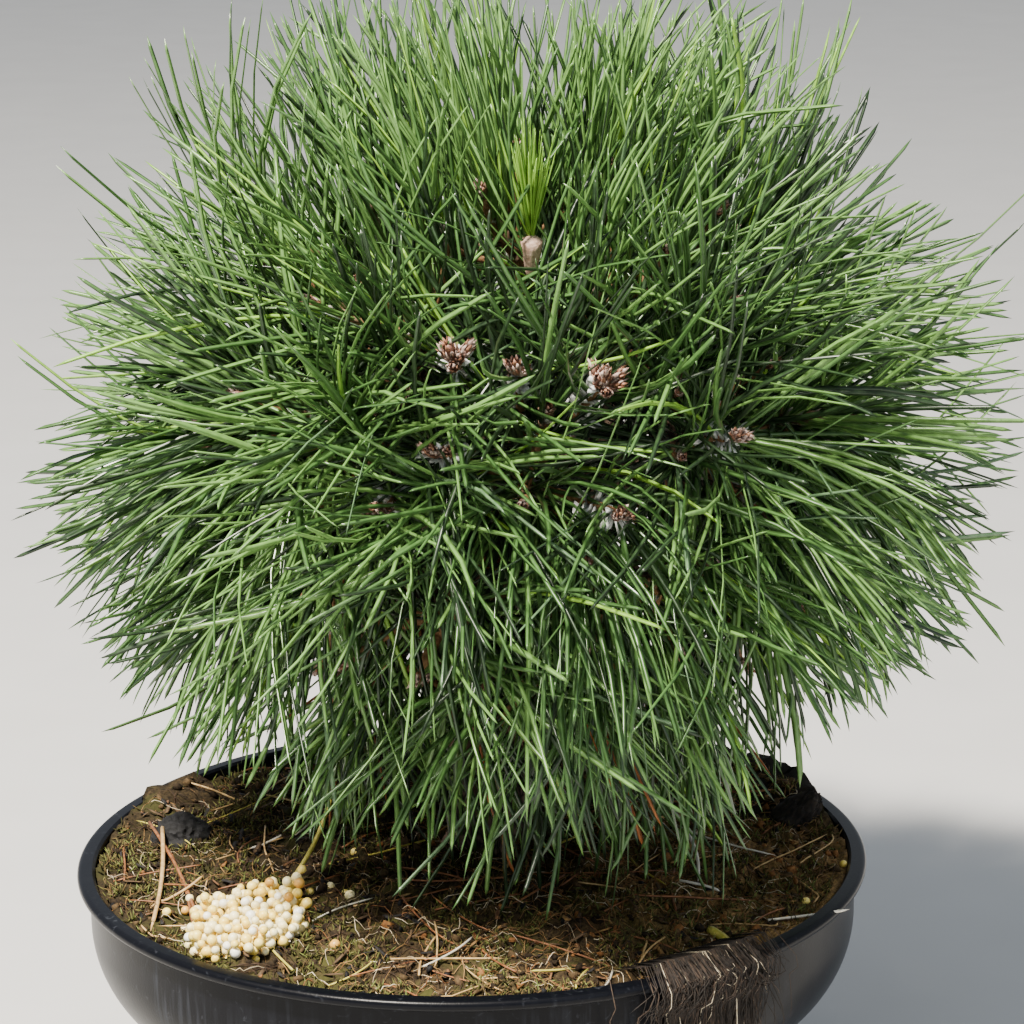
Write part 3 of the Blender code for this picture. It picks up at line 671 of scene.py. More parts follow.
lines, widths = lying_strands(FIBRES, FIBRE_LENGTH, FIBRE_RADIUS, 9, 1.6, rng)
fibre_finishes = (
    plain_finish("dark_root_fibre", "#2A1B10", "#46301C", 1.2, 0.8),
    plain_finish("tan_root_fibre", "#7A5A33", "#9C7A4A", 1.2, 0.75),
    plain_finish("orange_root_fibre", "#7A4A24", "#9C6A3C", 1.2, 0.75),
    plain_finish("pale_root_fibre", "#B9A784", "#D8CBB0", 1.2, 0.7),
)
deal = dealt_by_side(lines[:, 0, 0], (0.66, 0.20, 0.04, 0.10), (0.14, 0.50, 0.16, 0.20), rng)
strand_piece("root_fibres", "root_fibre", lines, widths, round_section(3), UPWARD, fibre_finishes, deal)

# Fallen needles, bark strips and straws: dry pine needles, shreds of bark, and a few longer straws and stalks
# that lie where they dropped, some propped on the lumps.
FALLEN_NEEDLES = 120
FALLEN_LENGTH = (0.009, 0.038)
FALLEN_RADIUS = (0.00020, 0.00038)
BARK_STRIPS = 560
STRIP_LENGTH = (0.0020, 0.0065)
STRIP_RADIUS = (0.0003, 0.0008)
STRIP_SECTION = ((1.0, 0.0), (0.0, 0.30), (-1.0, 0.0), (0.0, -0.30))
STRIP_SUNK = 0.6
STRAW_SWAY = 0.0015
STRAW_SEAT = 0.8
# Each straw: first and last place, their rise over the mix, its radius, and which dry colour it has
STRAWS = (
    ((-0.0879, 0.0137), (-0.0852, -0.0545), 0.006, 0.0010, 0.00065, 0),
    ((-0.0922, 0.0202), (-0.0720, -0.0529), 0.003, 0.0010, 0.00050, 1),
    ((-0.0890, 0.0170), (-0.0735, -0.0540), 0.003, 0.0008, 0.00045, 1),
    ((-0.0871, -0.0340), (-0.0727, -0.0268), 0.001, 0.0030, 0.00045, 0),
    ((-0.0384, -0.0167), (-0.0504, -0.0333), 0.019, 0.0010, 0.00065, 2),
    ((0.0790, -0.0537), (0.1012, -0.0498), 0.002, 0.0018, 0.00040, 3),
    ((0.0493, -0.0272), (0.0433, -0.0848), 0.002, 0.0010, 0.00030, 0),
    ((0.0597, 0.0005), (0.0617, -0.0304), 0.003, 0.0010, 0.00050, 3),
    ((0.0567, -0.0318), (0.0673, -0.0368), 0.001, 0.0010, 0.00040, 3),
    ((0.0632, -0.0605), (0.0676, -0.0739), 0.001, 0.0020, 0.00130, 2),
    ((-0.0120, -0.0840), (0.0010, -0.0690), 0.001, 0.0020, 0.00030, 3),
)
dry_finishes = (
    plain_finish("tan_straw", "#A98652", "#C9A973", 1.5, 0.55),
    plain_finish("dead_needle", "#6B4125", "#93613B", 1.5, 0.5),
    plain_finish("yellow_needle", "#A9A23C", "#C7B95A", 1.5, 0.5),
    plain_finish("white_straw", "#CFC8B4", "#E6E1D2", 1.5, 0.55),
)
lines, widths = lying_strands(FALLEN_NEEDLES, FALLEN_LENGTH, FALLEN_RADIUS, 9, 0.45, rng, stiff=True)
deal = rng.choice(4, FALLEN_NEEDLES, p=(0.42, 0.44, 0.06, 0.08))
strand_piece("fallen_needles", "root_fibre", lines, widths, round_section(4), UPWARD, dry_finishes, deal)

lines, widths = lying_strands(BARK_STRIPS, STRIP_LENGTH, STRIP_RADIUS, 4, 0.25, rng, stiff=True)
lines[:, :, 2] -= widths * STRIP_SUNK
strip_finishes = (
    plain_finish("rust_bark_strip", "#553620", "#7A5632", 1.0, 0.8, 0.6),
    plain_finish("amber_bark_strip", "#735328", "#967443", 1.0, 0.75, 0.6),
    plain_finish("brown_bark_strip", "#3E2D1C", "#5F4A30", 1.0, 0.85, 0.6),
    plain_finish("black_bark_strip", "#0E0C0B", "#232020", 1.0, 0.85, 0.6),
)
deal = dealt_by_side(lines[:, 0, 0], (0.08, 0.03, 0.45, 0.44), (0.30, 0.34, 0.28, 0.08), rng)
strand_piece("bark_strips", "peat_mix", lines, widths, STRIP_SECTION, UPWARD, strip_finishes, deal)

shares = np.linspace(0, 1, 9)
lines = []
for start, end, start_rise, end_rise, radius, _ in STRAWS:
    first = mix_height(*start) + start_rise
    last = mix_height(*end) + end_rise
    run = []
    for share, sway in zip(shares, STRAW_SWAY * np.sin(math.pi * shares)):
        x = start[0] + (end[0] - start[0]) * share + sway
        y = start[1] + (end[1] - start[1]) * share
        run.append((x, y, max(first + (last - first) * share, mix_height(x, y) + radius * STRAW_SEAT)))
    lines.append(run)
widths = np.array([[straw[4]] * len(shares) for straw in STRAWS])
deal = [straw[5] for straw in STRAWS]
strand_piece("straws", "root_fibre", lines, widths, round_section(5), UPWARD, dry_finishes, deal)

# Feed: a spoonful of coated slow-release prills, tipped in a heap at the front left, with a few that rolled.
# Each is a small glossy ball, 2 to 3 mm across.
FEED_PLACE = (-0.0590, -0.0545)
FEED_SPREAD = (0.0148, 0.0232)
FEED_TURN = math.radians(-14)
FEED_COUNT = 310
FEED_TRIES = 5
FEED_CROWDING = 0.62
PRILL_RADIUS = (0.00105, 0.00158)
PRILL_SEAT = 0.8
PRILL_TOUCH = 0.96
LOOSE_PRILLS = (
    (-0.0818, -0.0421), (-0.0764, -0.0480), (-0.0733, -0.0327), (-0.0762, -0.0346), (-0.0325, -0.0059),
    (-0.0342, -0.0326), (-0.0354, -0.0678), (0.1028, -0.0138), (0.0901, -0.0418), (-0.0499, -0.0433),
    (-0.0470, -0.0360), (-0.0436, -0.0332), (-0.0459, -0.0427), (-0.0410, -0.0323), (-0.0541, -0.0392),
    (-0.0326, -0.0382), (-0.0455, -0.0352), (-0.0494, -0.0382), (-0.0384, -0.0300), (-0.0770, -0.0390),
)
FEED_SEED = 5

rng = np.random.default_rng(FEED_SEED)
turn = np.array([[math.cos(FEED_TURN), -math.sin(FEED_TURN)], [math.sin(FEED_TURN), math.cos(FEED_TURN)]])
prills = []
for number in range(FEED_COUNT + len(LOOSE_PRILLS)):
    radius = rng.uniform(*PRILL_RADIUS)
    if number < FEED_COUNT:
        tries = []
        for _ in range(FEED_TRIES):
            spread = rng.uniform(0, 1) ** FEED_CROWDING
            angle = rng.uniform(0, math.tau)
            way = np.array((math.cos(angle), math.sin(angle)))
            tries.append(turn @ (way * spread * FEED_SPREAD) + FEED_PLACE)
    else:
        tries = [np.array(LOOSE_PRILLS[number - FEED_COUNT])]
    best = None
    for x, y in tries:
        height = mix_height(x, y) + radius * PRILL_SEAT
        for other_x, other_y, other_z, other_radius in prills:
            away = math.hypot(x - other_x, y - other_y)
            touch = (radius + other_radius) * PRILL_TOUCH
            if away < touch:
                height = max(height, other_z + math.sqrt(touch**2 - away**2))
        if best is None or height < best[2]:
            best = (x, y, height, radius)
    prills.append(best)
prills = np.array(prills)
bm = bmesh.new()
bmesh.ops.create_uvsphere(bm, u_segments=8, v_segments=6, radius=1.0)
bmesh.ops.triangulate(bm, faces=bm.faces)
prill = np.array([vert.co[:] for vert in bm.verts])
prill_faces = np.array([[vert.index for vert in face.verts] for face in bm.faces])
bm.free()
shapes = np.einsum("nij,kj->nki", random_turns(len(prills), rng), prill) * prills[:, 3, None, None]
shapes += prills[:, None, :3]
# Resin-coated fertiliser prills: cream to yellow, semi-gloss, each tinted by the thickness of its coat.
prill_finishes = (
    plain_finish("cream_prill", "#FBE89C", "#FFF8CC", 2.0, 0.34, 0.1),
    plain_finish("yellow_prill", "#F6D050", "#FFEA86", 2.0, 0.34, 0.1),
    plain_finish("white_prill", "#F8F4DE", "#FFFDF0", 2.0, 0.35, 0.1),
    plain_finish("amber_prill", "#D59A3A", "#E3B25C", 2.0, 0.3, 0.1),
)
deal = rng.choice(4, len(prills), p=(0.42, 0.46, 0.08, 0.04))
mount(joined("feed_prills_heap", shapes, prill_faces, prill_finishes, deal), "feed_heap")

# Bark lump and clod: a charred knob of bark at the back left, and a clod of matted peat that stands up at the
# back right rim. Both lie loose on the mix.
LUMPS = (
    ("charred_knob", "bark_lump", (-0.0830, 0.0170), (0.0095, 0.0080, 0.0085), 15, "charred_bark"),
    ("peat_clod", "mix_clod", (0.0925, 0.0235), (0.0075, 0.0075, 0.0105), -30, "peat_mix"),
)
LUMP_ROUGHNESS = 0.16
LUMP_DETAIL = 1.7
LUMP_FINE = ((0.22, 3.4), (0.12, 8.0))
CLOD_LEAN = 0.8
charred = plain_finish("charred_bark_surface", "#040405", "#17171A", 1.4, 0.85, 0.8)
clod_peat = plain_finish("matted_peat_surface", "#0E0B08", "#2A2118", 1.2, 0.95, 0.8)
for name, node, spot, sizes, angle, slot in LUMPS:
    bm = bmesh.new()
    bmesh.ops.create_icosphere(bm, subdivisions=5, radius=1.0)
    for vert in bm.verts:
        swell = 1.0 + LUMP_ROUGHNESS * noise.noise(vert.co * LUMP_DETAIL + Vector((angle, 0, 0)))
        for depth, detail in LUMP_FINE:
            swell -= depth * abs(noise.noise(vert.co * detail + Vector((0, angle, 0))))
        vert.co *= swell
    shape = Matrix.Translation((spot[0], spot[1], ground_height(*spot)))
    shape = shape @ Matrix.Rotation(math.radians(angle), 4, "Z") @ Matrix.Diagonal((*sizes, 1.0))
    bmesh.ops.transform(bm, matrix=shape, verts=bm.verts)
    if name == "peat_clod":
        outward = Vector((spot[0], spot[1], 0.0)).normalized()
        for vert in bm.verts:
            vert.co += outward * max(vert.co.z - BOWL_HEIGHT, 0.0) * CLOD_LEAN
    lump = object_of(name, mesh_of(name, bm, 50), charred if slot == "charred_bark" else clod_peat)
    mount(lump, node)

# Root mat: fine dead roots and moss that have grown over the lip at the front right and hang down the wall,
# with loose hair roots trailing from it.
MAT_MIDDLE = math.radians(-55)
MAT_SPREAD = math.radians(15)
MAT_THICKNESS = 0.0022
MAT_INNER_RADIUS = 0.086
MAT_DROP = 0.033
MAT_SUNK = 0.004
MAT_STEPS = 46
MAT_EDGE_STEP = 0.0010
MAT_ROPES = 0.0009
MAT_ROUGHNESS = 0.0004
MAT_RAGGED = 0.006
HAIR_ROOTS = 900
HAIR_POINTS = 9
HAIR_SHORTEST = 0.006
HAIR_EXTRA = 0.044
HAIR_RADIUS = (0.00007, 0.00017)
HAIR_SEED = 23


def evened(points, spacing):
    """Cut an outline's straight stretches into equal short ones."""
    result = [points[0]]
    for (r0, h0), (r1, h1) in zip(points, points[1:]):
        pieces = max(1, round(math.hypot(r1 - r0, h1 - h0) / spacing))
        result += [(r0 + (r1 - r0) * n / pieces, h0 + (h1 - h0) * n / pieces) for n in range(1, pieces + 1)]
    return result


inner = WALL_RADIUS - WALL_THICKNESS - SEAT_GAP
mat_foot = SOIL_EDGE - MAT_SUNK
under = [(MAT_INNER_RADIUS, mat_foot), (inner, mat_foot), (inner, BOWL_HEIGHT + SEAT_GAP)]
under += lip_arc(SEAT_GAP)[:-1]
under.append((WALL_RADIUS + SEAT_GAP * 2, BOWL_HEIGHT - LIP_THICKNESS * 2.5))
wall = [point for point in wall_profile(-SEAT_GAP) if point[1] > BOWL_HEIGHT - MAT_DROP]
under += wall
over = [(radius + MAT_THICKNESS, height) for radius, height in reversed(wall)]
over += [(RIM_RADIUS + MAT_THICKNESS, BOWL_HEIGHT - LIP_THICKNESS)]
over += [(RIM_RADIUS + MAT_THICKNESS / 2, BOWL_HEIGHT + MAT_THICKNESS / 2)]
over += [(RIM_RADIUS - LIP_THICKNESS, BOWL_HEIGHT + MAT_THICKNESS)]
over += [((MAT_INNER_RADIUS + inner) / 2, BOWL_HEIGHT), (MAT_INNER_RADIUS, SOIL_EDGE + MAT_THICKNESS / 2)]
first = MAT_MIDDLE - MAT_SPREAD / 2
bm = bmesh.new()
ring = []
for radius, height in evened(under + over + under[:1], MAT_EDGE_STEP)[:-1]:
    ring.append(bm.verts.new((radius * math.cos(first), radius * math.sin(first), height)))
section = bm.faces.new(ring)
bmesh.ops.spin(
    bm, geom=[section], cent=(0, 0, 0), axis=(0, 0, 1), angle=MAT_SPREAD, steps=MAT_STEPS, use_duplicate=False
)
bmesh.ops.recalc_face_normals(bm, faces=bm.faces)
for vert in bm.verts:
    outward = Vector((vert.co.x, vert.co.y, 0.0)).normalized()
    angle = math.atan2(vert.co.y, vert.co.x) - MAT_MIDDLE
    beyond = max(math.hypot(vert.co.x, vert.co.y) - WALL_RADIUS - SEAT_GAP * 3, 0.0) / MAT_THICKNESS
    ropes = noise.noise(Vector((angle * 210, vert.co.z * 130, 0.5)))
    rough = noise.noise(vert.co / 0.0016)
    vert.co += outward * (MAT_ROPES * ropes + MAT_ROUGHNESS * rough) * min(beyond, 1.0)
    if vert.co.z < BOWL_HEIGHT - MAT_DROP * 0.4 and beyond > 0.0:
        vert.co.z += MAT_RAGGED * noise.noise(Vector((angle * 60, 0.3, 0.0))) * min(beyond, 1.0)
for vert in bm.verts:
    radius = math.hypot(vert.co.x, vert.co.y)
    under_mix = min(max((inner - 0.001 - radius) / 0.004, 0.0), 1.0)
    vert.co.z -= under_mix * max(vert.co.z - mix_height(vert.co.x, vert.co.y) + 0.0012, 0.0)
matted_root = plain_finish("matted_dead_root", "#120D0A", "#2E231A", 0.9, 0.92, 0.9)
mat = object_of("root_mat_fringe", mesh_of("root_mat_fringe", bm, 60), matted_root)
mount(mat, "root_mat")

rng = np.random.default_rng(HAIR_SEED)
angle = MAT_MIDDLE + rng.normal(0, 0.27, HAIR_ROOTS) * MAT_SPREAD
depth = HAIR_SHORTEST + HAIR_EXTRA * rng.uniform(0, 1, HAIR_ROOTS) ** 1.5
shares = np.linspace(0, 1, HAIR_POINTS)
out = MAT_THICKNESS + rng.uniform(0.0, 0.0016, HAIR_ROOTS)
drift = rng.normal(0, 0.045, HAIR_ROOTS)
wave = rng.uniform(0, math.tau, HAIR_ROOTS)
wall_radii, wall_heights = zip(*reversed(wall_profile(0.0)))
lines = np.zeros((HAIR_ROOTS, HAIR_POINTS, 3))
for step, share in enumerate(shares):
    height = BOWL_HEIGHT + 0.0012 - depth * max(share - shares[1], 0.0)
    wall_there = np.interp(height, wall_heights, wall_radii)
    lip_there = np.where(height > BOWL_HEIGHT - 2.4 * LIP_THICKNESS, RIM_RADIUS - WALL_RADIUS, 0.0)
    plumb = RIM_RADIUS - 0.0035 - 0.35 * np.maximum(BOWL_HEIGHT - 0.02 - height, 0)
    radius = np.maximum(wall_there + lip_there, plumb) + out + 0.0007 * np.sin(wave + share * 7)
    if step < 2:
        radius = RIM_RADIUS - np.where(step == 0, 0.008 + 0.6 * depth.clip(0, 0.012), 0.0035)
        height = BOWL_HEIGHT + np.where(step == 0, -0.002, MAT_THICKNESS) + out * 0.4
    turn = angle + drift * share + 0.011 * np.sin(wave * 1.7 + share * 6)
    lines[:, step] = np.stack([radius * np.cos(turn), radius * np.sin(turn), height], axis=-1)
widths = np.repeat(rng.uniform(*HAIR_RADIUS, HAIR_ROOTS)[:, None], HAIR_POINTS, axis=1)
beside = np.stack([np.cos(angle), np.sin(angle), np.zeros(HAIR_ROOTS)], axis=-1)
hair_finishes = (
    plain_finish("black_brown_hair_root", "#15100C", "#281F17", 1.2, 0.85),
    plain_finish("brown_hair_root", "#2B2017", "#443426", 1.2, 0.8),
    plain_finish("pale_hair_root", "#A3957A", "#CFC4AC", 1.2, 0.7),
)
deal = rng.choice(3, HAIR_ROOTS, p=(0.76, 0.22, 0.02))
strand_piece("hair_roots", "root_fibre", lines, widths, round_section(3), beside, hair_finishes, deal)

# Trunk: one short leaning stem of rough grey-brown bark, flared into root ridges where it enters the mix.
# It tapers up through the crown to the leader.
CROWN_CENTRE = Vector((0.016, 0.0, BOWL_HEIGHT + 0.115))
TRUNK_FOOT = Vector((0.004, 0.003, SOIL_TOP + SEAT_GAP))
TRUNK_RADIUS = 0.0085
TRUNK_TIP_RADIUS = 0.0036
TRUNK_TAPER = 0.8
TRUNK_BOW = Vector((0.0035, 0.0025, 0.0))
TRUNK_FLARE = 0.0060
FLARE_HEIGHT = 0.011
ROOT_RIDGES = 5
RIDGE_DEPTH = 0.35
RIDGE_TURN = 0.6
TRUNK_RINGS = 150
TRUNK_SUNK = 0.004
BARK_PLATE = 0.0045
BARK_DEPTH = 0.0009
PLATE_SQUEEZE = 0.55
CRACK_STEEPNESS = 3.0
PLATE_ROUGHNESS = 0.35
BARK_PLATE_MM = 3.2
BARK_GRAIN_MM = 1.1
LEADER_AZIMUTH = math.radians(-90)
LEADER_LATITUDE = math.radians(78)
LEADER_START = 0.046


def direction(azimuth, latitude):
    """Give the unit vector at an azimuth and a latitude."""
    level = math.cos(latitude)
    return Vector((level * math.cos(azimuth), level * math.sin(azimuth), math.sin(latitude)))


def trunk_point(share):
    """Give the trunk's middle line, which leans from its foot to the leader."""
    tip = CROWN_CENTRE + direction(LEADER_AZIMUTH, LEADER_LATITUDE) * (LEADER_START - SEAT_GAP)
    return TRUNK_FOOT.lerp(tip, share) + TRUNK_BOW * math.sin(math.pi * share)


def limb_bmesh(points, radii, resolution):
    """Make a tapering limb as a closed tube through the points."""
    curve = bpy.data.curves.new("limb", "CURVE")
    curve.dimensions = "3D"
    curve.bevel_depth = 1.0
    curve.bevel_resolution = resolution
    curve.use_fill_caps = True
    spline = curve.splines.new("POLY")
    spline.points.add(len(points) - 1)
    for point, place, radius in zip(spline.points, points, radii):
        point.co = (*place, 1.0)
        point.radius = radius
    guide = bpy.data.objects.new("limb", curve)
    bpy.context.scene.collection.objects.link(guide)
    bpy.context.view_layer.update()
    mesh = bpy.data.meshes.new_from_object(guide.evaluated_get(bpy.context.evaluated_depsgraph_get()))
    bpy.data.objects.remove(guide, do_unlink=True)
    bm = bmesh.new()
    bm.from_mesh(mesh)
    bpy.data.meshes.remove(mesh)
    bmesh.ops.remove_doubles(bm, verts=bm.verts, dist=0.00001)
    bmesh.ops.recalc_face_normals(bm, faces=bm.faces)
    return bm


def roughen_bark(bm, plate, depth):
    """Raise plates on the bark, longer than they are wide, with cracks between them."""
    bm.normal_update()
    moved = []
    for vert in bm.verts:
        spot = Vector((vert.co.x / plate, vert.co.y / plate, vert.co.z / plate * PLATE_SQUEEZE))
        near = noise.voronoi(spot)[0]
        crack = min((near[1] - near[0]) * CRACK_STEEPNESS, 1.0)
        moved.append(vert.normal * depth * (crack - 0.65 + PLATE_ROUGHNESS * noise.noise(spot * 3.1)))
    for vert, step in zip(bm.verts, moved):
        vert.co += step


shares = [step / (TRUNK_RINGS - 1) for step in range(TRUNK_RINGS)]
points = [trunk_point(share) for share in shares]
points[0] -= Vector((0, 0, TRUNK_SUNK))
radii = [TRUNK_RADIUS + (TRUNK_TIP_RADIUS - TRUNK_RADIUS) * share**TRUNK_TAPER for share in shares]
bm = limb_bmesh(points, radii, 14)
for vert in bm.verts:
    height = max(vert.co.z - TRUNK_FOOT.z, 0.0)
    across = Vector((vert.co.x - TRUNK_FOOT.x, vert.co.y - TRUNK_FOOT.y, 0.0))
    if across.length > 0.001 and height < 4 * FLARE_HEIGHT:
        angle = math.atan2(across.y, across.x)
        ridge = 1.0 - RIDGE_DEPTH + RIDGE_DEPTH * math.cos(ROOT_RIDGES * angle + RIDGE_TURN)
        vert.co += across.normalized() * TRUNK_FLARE * ridge * math.exp(-height / FLARE_HEIGHT)
roughen_bark(bm, BARK_PLATE, BARK_DEPTH)

# Pine bark, grown: grey-brown scaly plates with dark cracks, dry and quite matt.
bark, shader, place = new_finish("scaly_pine_bark", 0.88)
long_way = add_node(bark, "ShaderNodeMapping", {"Vector": place, "Scale": (1.0, 1.0, 0.5)}).outputs[0]
values = {"Vector": long_way, "Scale": cells_of(BARK_PLATE_MM)}
plates = add_node(bark, "ShaderNodeTexVoronoi", values, feature="DISTANCE_TO_EDGE")
values = {"Vector": long_way, "Scale": cells_of(BARK_GRAIN_MM), "Detail": 4.0}
grain = add_node(bark, "ShaderNodeTexNoise", values).outputs[0]
cracks = add_node(bark, "ShaderNodeMapRange", {0: plates.outputs[0], 1: 0.02, 2: 0.22, 3: 0.0, 4: 1.0})
worn = add_layer(bark, "#4A382B", "#8B7765", grain, 0.0, 1.0)
barky = add_layer(bark, "#1B120C", worn, cracks.outputs[0], 0.0, 1.0)
height = add_node(bark, "ShaderNodeMath", {0: cracks.outputs[0], 1: grain}, operation="ADD")
set_surface(bark, shader, barky, height.outputs[0], 0.6, 0.0006)
mount(object_of("trunk_bark", mesh_of("trunk_bark", bm, 60), bark), "trunk")

# Boughs: two dozen slim limbs that leave the trunk in rings, rise, and bend out to carry the foliage.
# Their bark is younger, in small scales left by old needles.
LATITUDE_SWING = 2.5
FOOT_STEP = 3
BOUGH_RADIUS = 0.0031
BOUGH_TIP_RADIUS = 0.0021
BOUGH_POINTS = 40
BOUGH_NECK = 0.004
BOUGH_RISE = 0.45
BOUGH_LEAVING = 0.38
BOUGH_ARRIVING = 0.26
BOUGH_SWAY = 0.0015
SCALE_SIZE = 0.0018
SCALE_DEPTH = 0.00035
PLANT_SEED = 2305
# Each ring: its number of masses, their latitude, the first one's azimuth and the sweep in degrees, the
# lowest and highest foot of a bough over the mix, and how far from the crown's centre the boughs end
RINGS = (
    ("shoulder", 5, 43, -126, 360, 0.092, 0.122, 0.050),
    ("middle", 8, 8, -90, 360, 0.058, 0.088, 0.052),
    ("skirt", 7, -27, -112, 360, 0.028, 0.052, 0.054),
    ("low", 4, -54, 45, 300, 0.014, 0.024, 0.062),
)


def foliage_plan():
    """List each mass: its name, direction, bough foot above the mix, and where its bough ends."""
    plan = [("leader", direction(LEADER_AZIMUTH, LEADER_LATITUDE), None, LEADER_START)]
    for ring, count, latitude, first, sweep, lowest, highest, end in RINGS:
        for index in range(count):
            azimuth = math.radians(first + sweep * index / count)
            swing = LATITUDE_SWING if index % 2 else -LATITUDE_SWING
            heading = direction(azimuth, math.radians(latitude + swing))
            share = (index * FOOT_STEP % count) / (count - 1)
            plan.append((f"{ring}_{index + 1}", heading, lowest + (highest - lowest) * share, end))
    return plan


def bough_route(heading, foot_height, end_radius, rng):
    """Give a bough's points: out of the trunk, rising, and on to the place where its mass begins."""
    start = trunk_point(foot_height / (trunk_point(1.0).z - TRUNK_FOOT.z))
    end = CROWN_CENTRE + heading * end_radius
    neck = end - heading * BOUGH_NECK
    outward = Vector((end.x - start.x, end.y - start.y, 0.0)).normalized()
    span = (neck - start).length
    first = start + (outward + Vector((0, 0, BOUGH_RISE))) * span * BOUGH_LEAVING
    second = neck - heading * span * BOUGH_ARRIVING
    sway = outward.cross(Vector((0, 0, 1))) * rng.uniform(-BOUGH_SWAY, BOUGH_SWAY)
    points = []
    for step in range(BOUGH_POINTS - 1):
        t = step / (BOUGH_POINTS - 2)
        place = start * (1 - t) ** 3 + first * 3 * t * (1 - t) ** 2
        place = place + second * 3 * t * t * (1 - t) + neck * t**3
        points.append(place + sway * math.sin(math.pi * t))
    return points + [end]


plan = foliage_plan()
rng = random.Random(PLANT_SEED)
for name, heading, foot_height, end_radius in plan:
    if foot_height is None:
        continue
    points = bough_route(heading, foot_height, end_radius, rng)
    slimming = BOUGH_TIP_RADIUS - BOUGH_RADIUS
    radii = [BOUGH_RADIUS + slimming * step / (BOUGH_POINTS - 1) for step in range(BOUGH_POINTS)]
    bm = limb_bmesh(points, radii, 5)
    roughen_bark(bm, SCALE_SIZE, SCALE_DEPTH)
    limb = object_of(f"limb_{name}", mesh_of(f"limb_{name}", bm, 60), bark)
    mount(limb, f"bough_{name}")

# Twigs: each mass has a stem that goes on from its bough, three twigs that grow out of the stem, and finer
# shoots that fill in between them and inside. Their tips carry the buds.
STEM_RADIUS = 0.0019
TWIG_RADIUS = 0.0014
TWIG_TAPER = 0.7
TWIG_COUNT = 3
TWIG_SPREAD = math.radians(16)
TWIG_SPREAD_RANGE = (0.86, 1.05)
TWIG_TURN_SPREAD = 0.2
TWIG_FLARE = 1.25
FIRST_FORK = 0.12
FORK_STEP = 0.14
SHOOT_TIP = 0.086
SHOOT_TIP_LOW = 0.079
SHOOT_TIP_SPREAD = (-0.005, 0.002)
STEM_LEAD = 0.002
LOW_LATITUDE = math.radians(-58)
LEVEL_LATITUDE = math.radians(-12)
# Finer shoots: their kind and number, how unevenly they turn, how far they lean, how deep below the surface
# they end, where along the stem they fork, how far their tips tilt, and how slim they are beside a twig
FINE_SHOOTS = (
    ("side", 2, 0.25, (math.radians(15), math.radians(24)), (0.0, 0.014), (0.15, 0.45), 0.18, 0.85),
    ("inner", 3, 0.3, (math.radians(6), math.radians(24)), (0.018, 0.036), (0.02, 0.2), 0.25, 0.8),
)
# Tips whose buds show at the front, each as the bud's place
FRONT_TIPS = (
    (-0.0009, -0.0734, 0.2315),
    (0.0147, -0.0771, 0.2291),
    (0.0358, -0.0773, 0.2255),
    (0.0185, -0.0528, 0.2505),
    (-0.0057, -0.0828, 0.2096),
    (-0.0197, -0.0811, 0.1953),
    (0.0395, -0.0864, 0.1944),
    (0.0691, -0.0687, 0.2093),
)
FRONT_FORK = 0.25
CANDLE_TIP = 3
CANDLE_AIM = (0.0, -0.25, 1.0)
CLEAR_OF_FRONT = 0.017
TWIG_CLEAR_OF_FRONT = CLEAR_OF_FRONT * 0.7
TWIG_POINTS = 7
TWIG_SIDE = (0.31, 0.17, 0.94)


def side_of(axis):
    """Give two unit vectors across an axis."""
    first = axis.cross(Vector((0, 0, 1)))
    if first.length < 0.05:
        first = axis.cross(Vector((0, 1, 0)))
    first.normalize()
    return first, axis.cross(first).normalized()


def leaning(axis, lean, turn):
    """Tilt an axis by the lean, towards the given turn about it."""
    first, second = side_of(axis)
    across = first * math.cos(turn) + second * math.sin(turn)
    return (axis * math.cos(lean) + across * math.sin(lean)).normalized()


def low_share(rises):
    """Give how far directions are on the way from the crown's level part to its lowest, from their rises."""
    latitude = np.arcsin(np.clip(rises, -1, 1))
    return np.clip((LEVEL_LATITUDE - latitude) / (LEVEL_LATITUDE - LOW_LATITUDE), 0, 1)


def shoot_plan(heading, rng):
    """List a mass's shoots: the stem's own end and the twigs round it, each as a place and a direction."""
    tip_radius = SHOOT_TIP + (SHOOT_TIP_LOW - SHOOT_TIP) * float(low_share(heading.z))
    shoots = [(CROWN_CENTRE + heading * (tip_radius + STEM_LEAD), heading)]
    turn = rng.uniform(0, math.tau)
    for _ in range(TWIG_COUNT):
        aim = leaning(heading, TWIG_SPREAD * rng.uniform(*TWIG_SPREAD_RANGE), turn)
        tip = CROWN_CENTRE + aim * (tip_radius + rng.uniform(*SHOOT_TIP_SPREAD))
        shoots.append((tip, leaning(heading, TWIG_SPREAD * TWIG_FLARE, turn)))
        turn += math.tau / TWIG_COUNT + rng.uniform(-TWIG_TURN_SPREAD, TWIG_TURN_SPREAD)
    return shoots


def twig_line(start, tip, aim):
    """Give a twig's bent line, which arrives at its tip in the shoot's direction."""
    middle = tip - aim * (tip - start).length * 0.5
    places = []
    for step in range(TWIG_POINTS):
        t = step / (TWIG_POINTS - 1)
        places.append(start * (1 - t) ** 2 + middle * 2 * t * (1 - t) + tip * t * t)
    return places


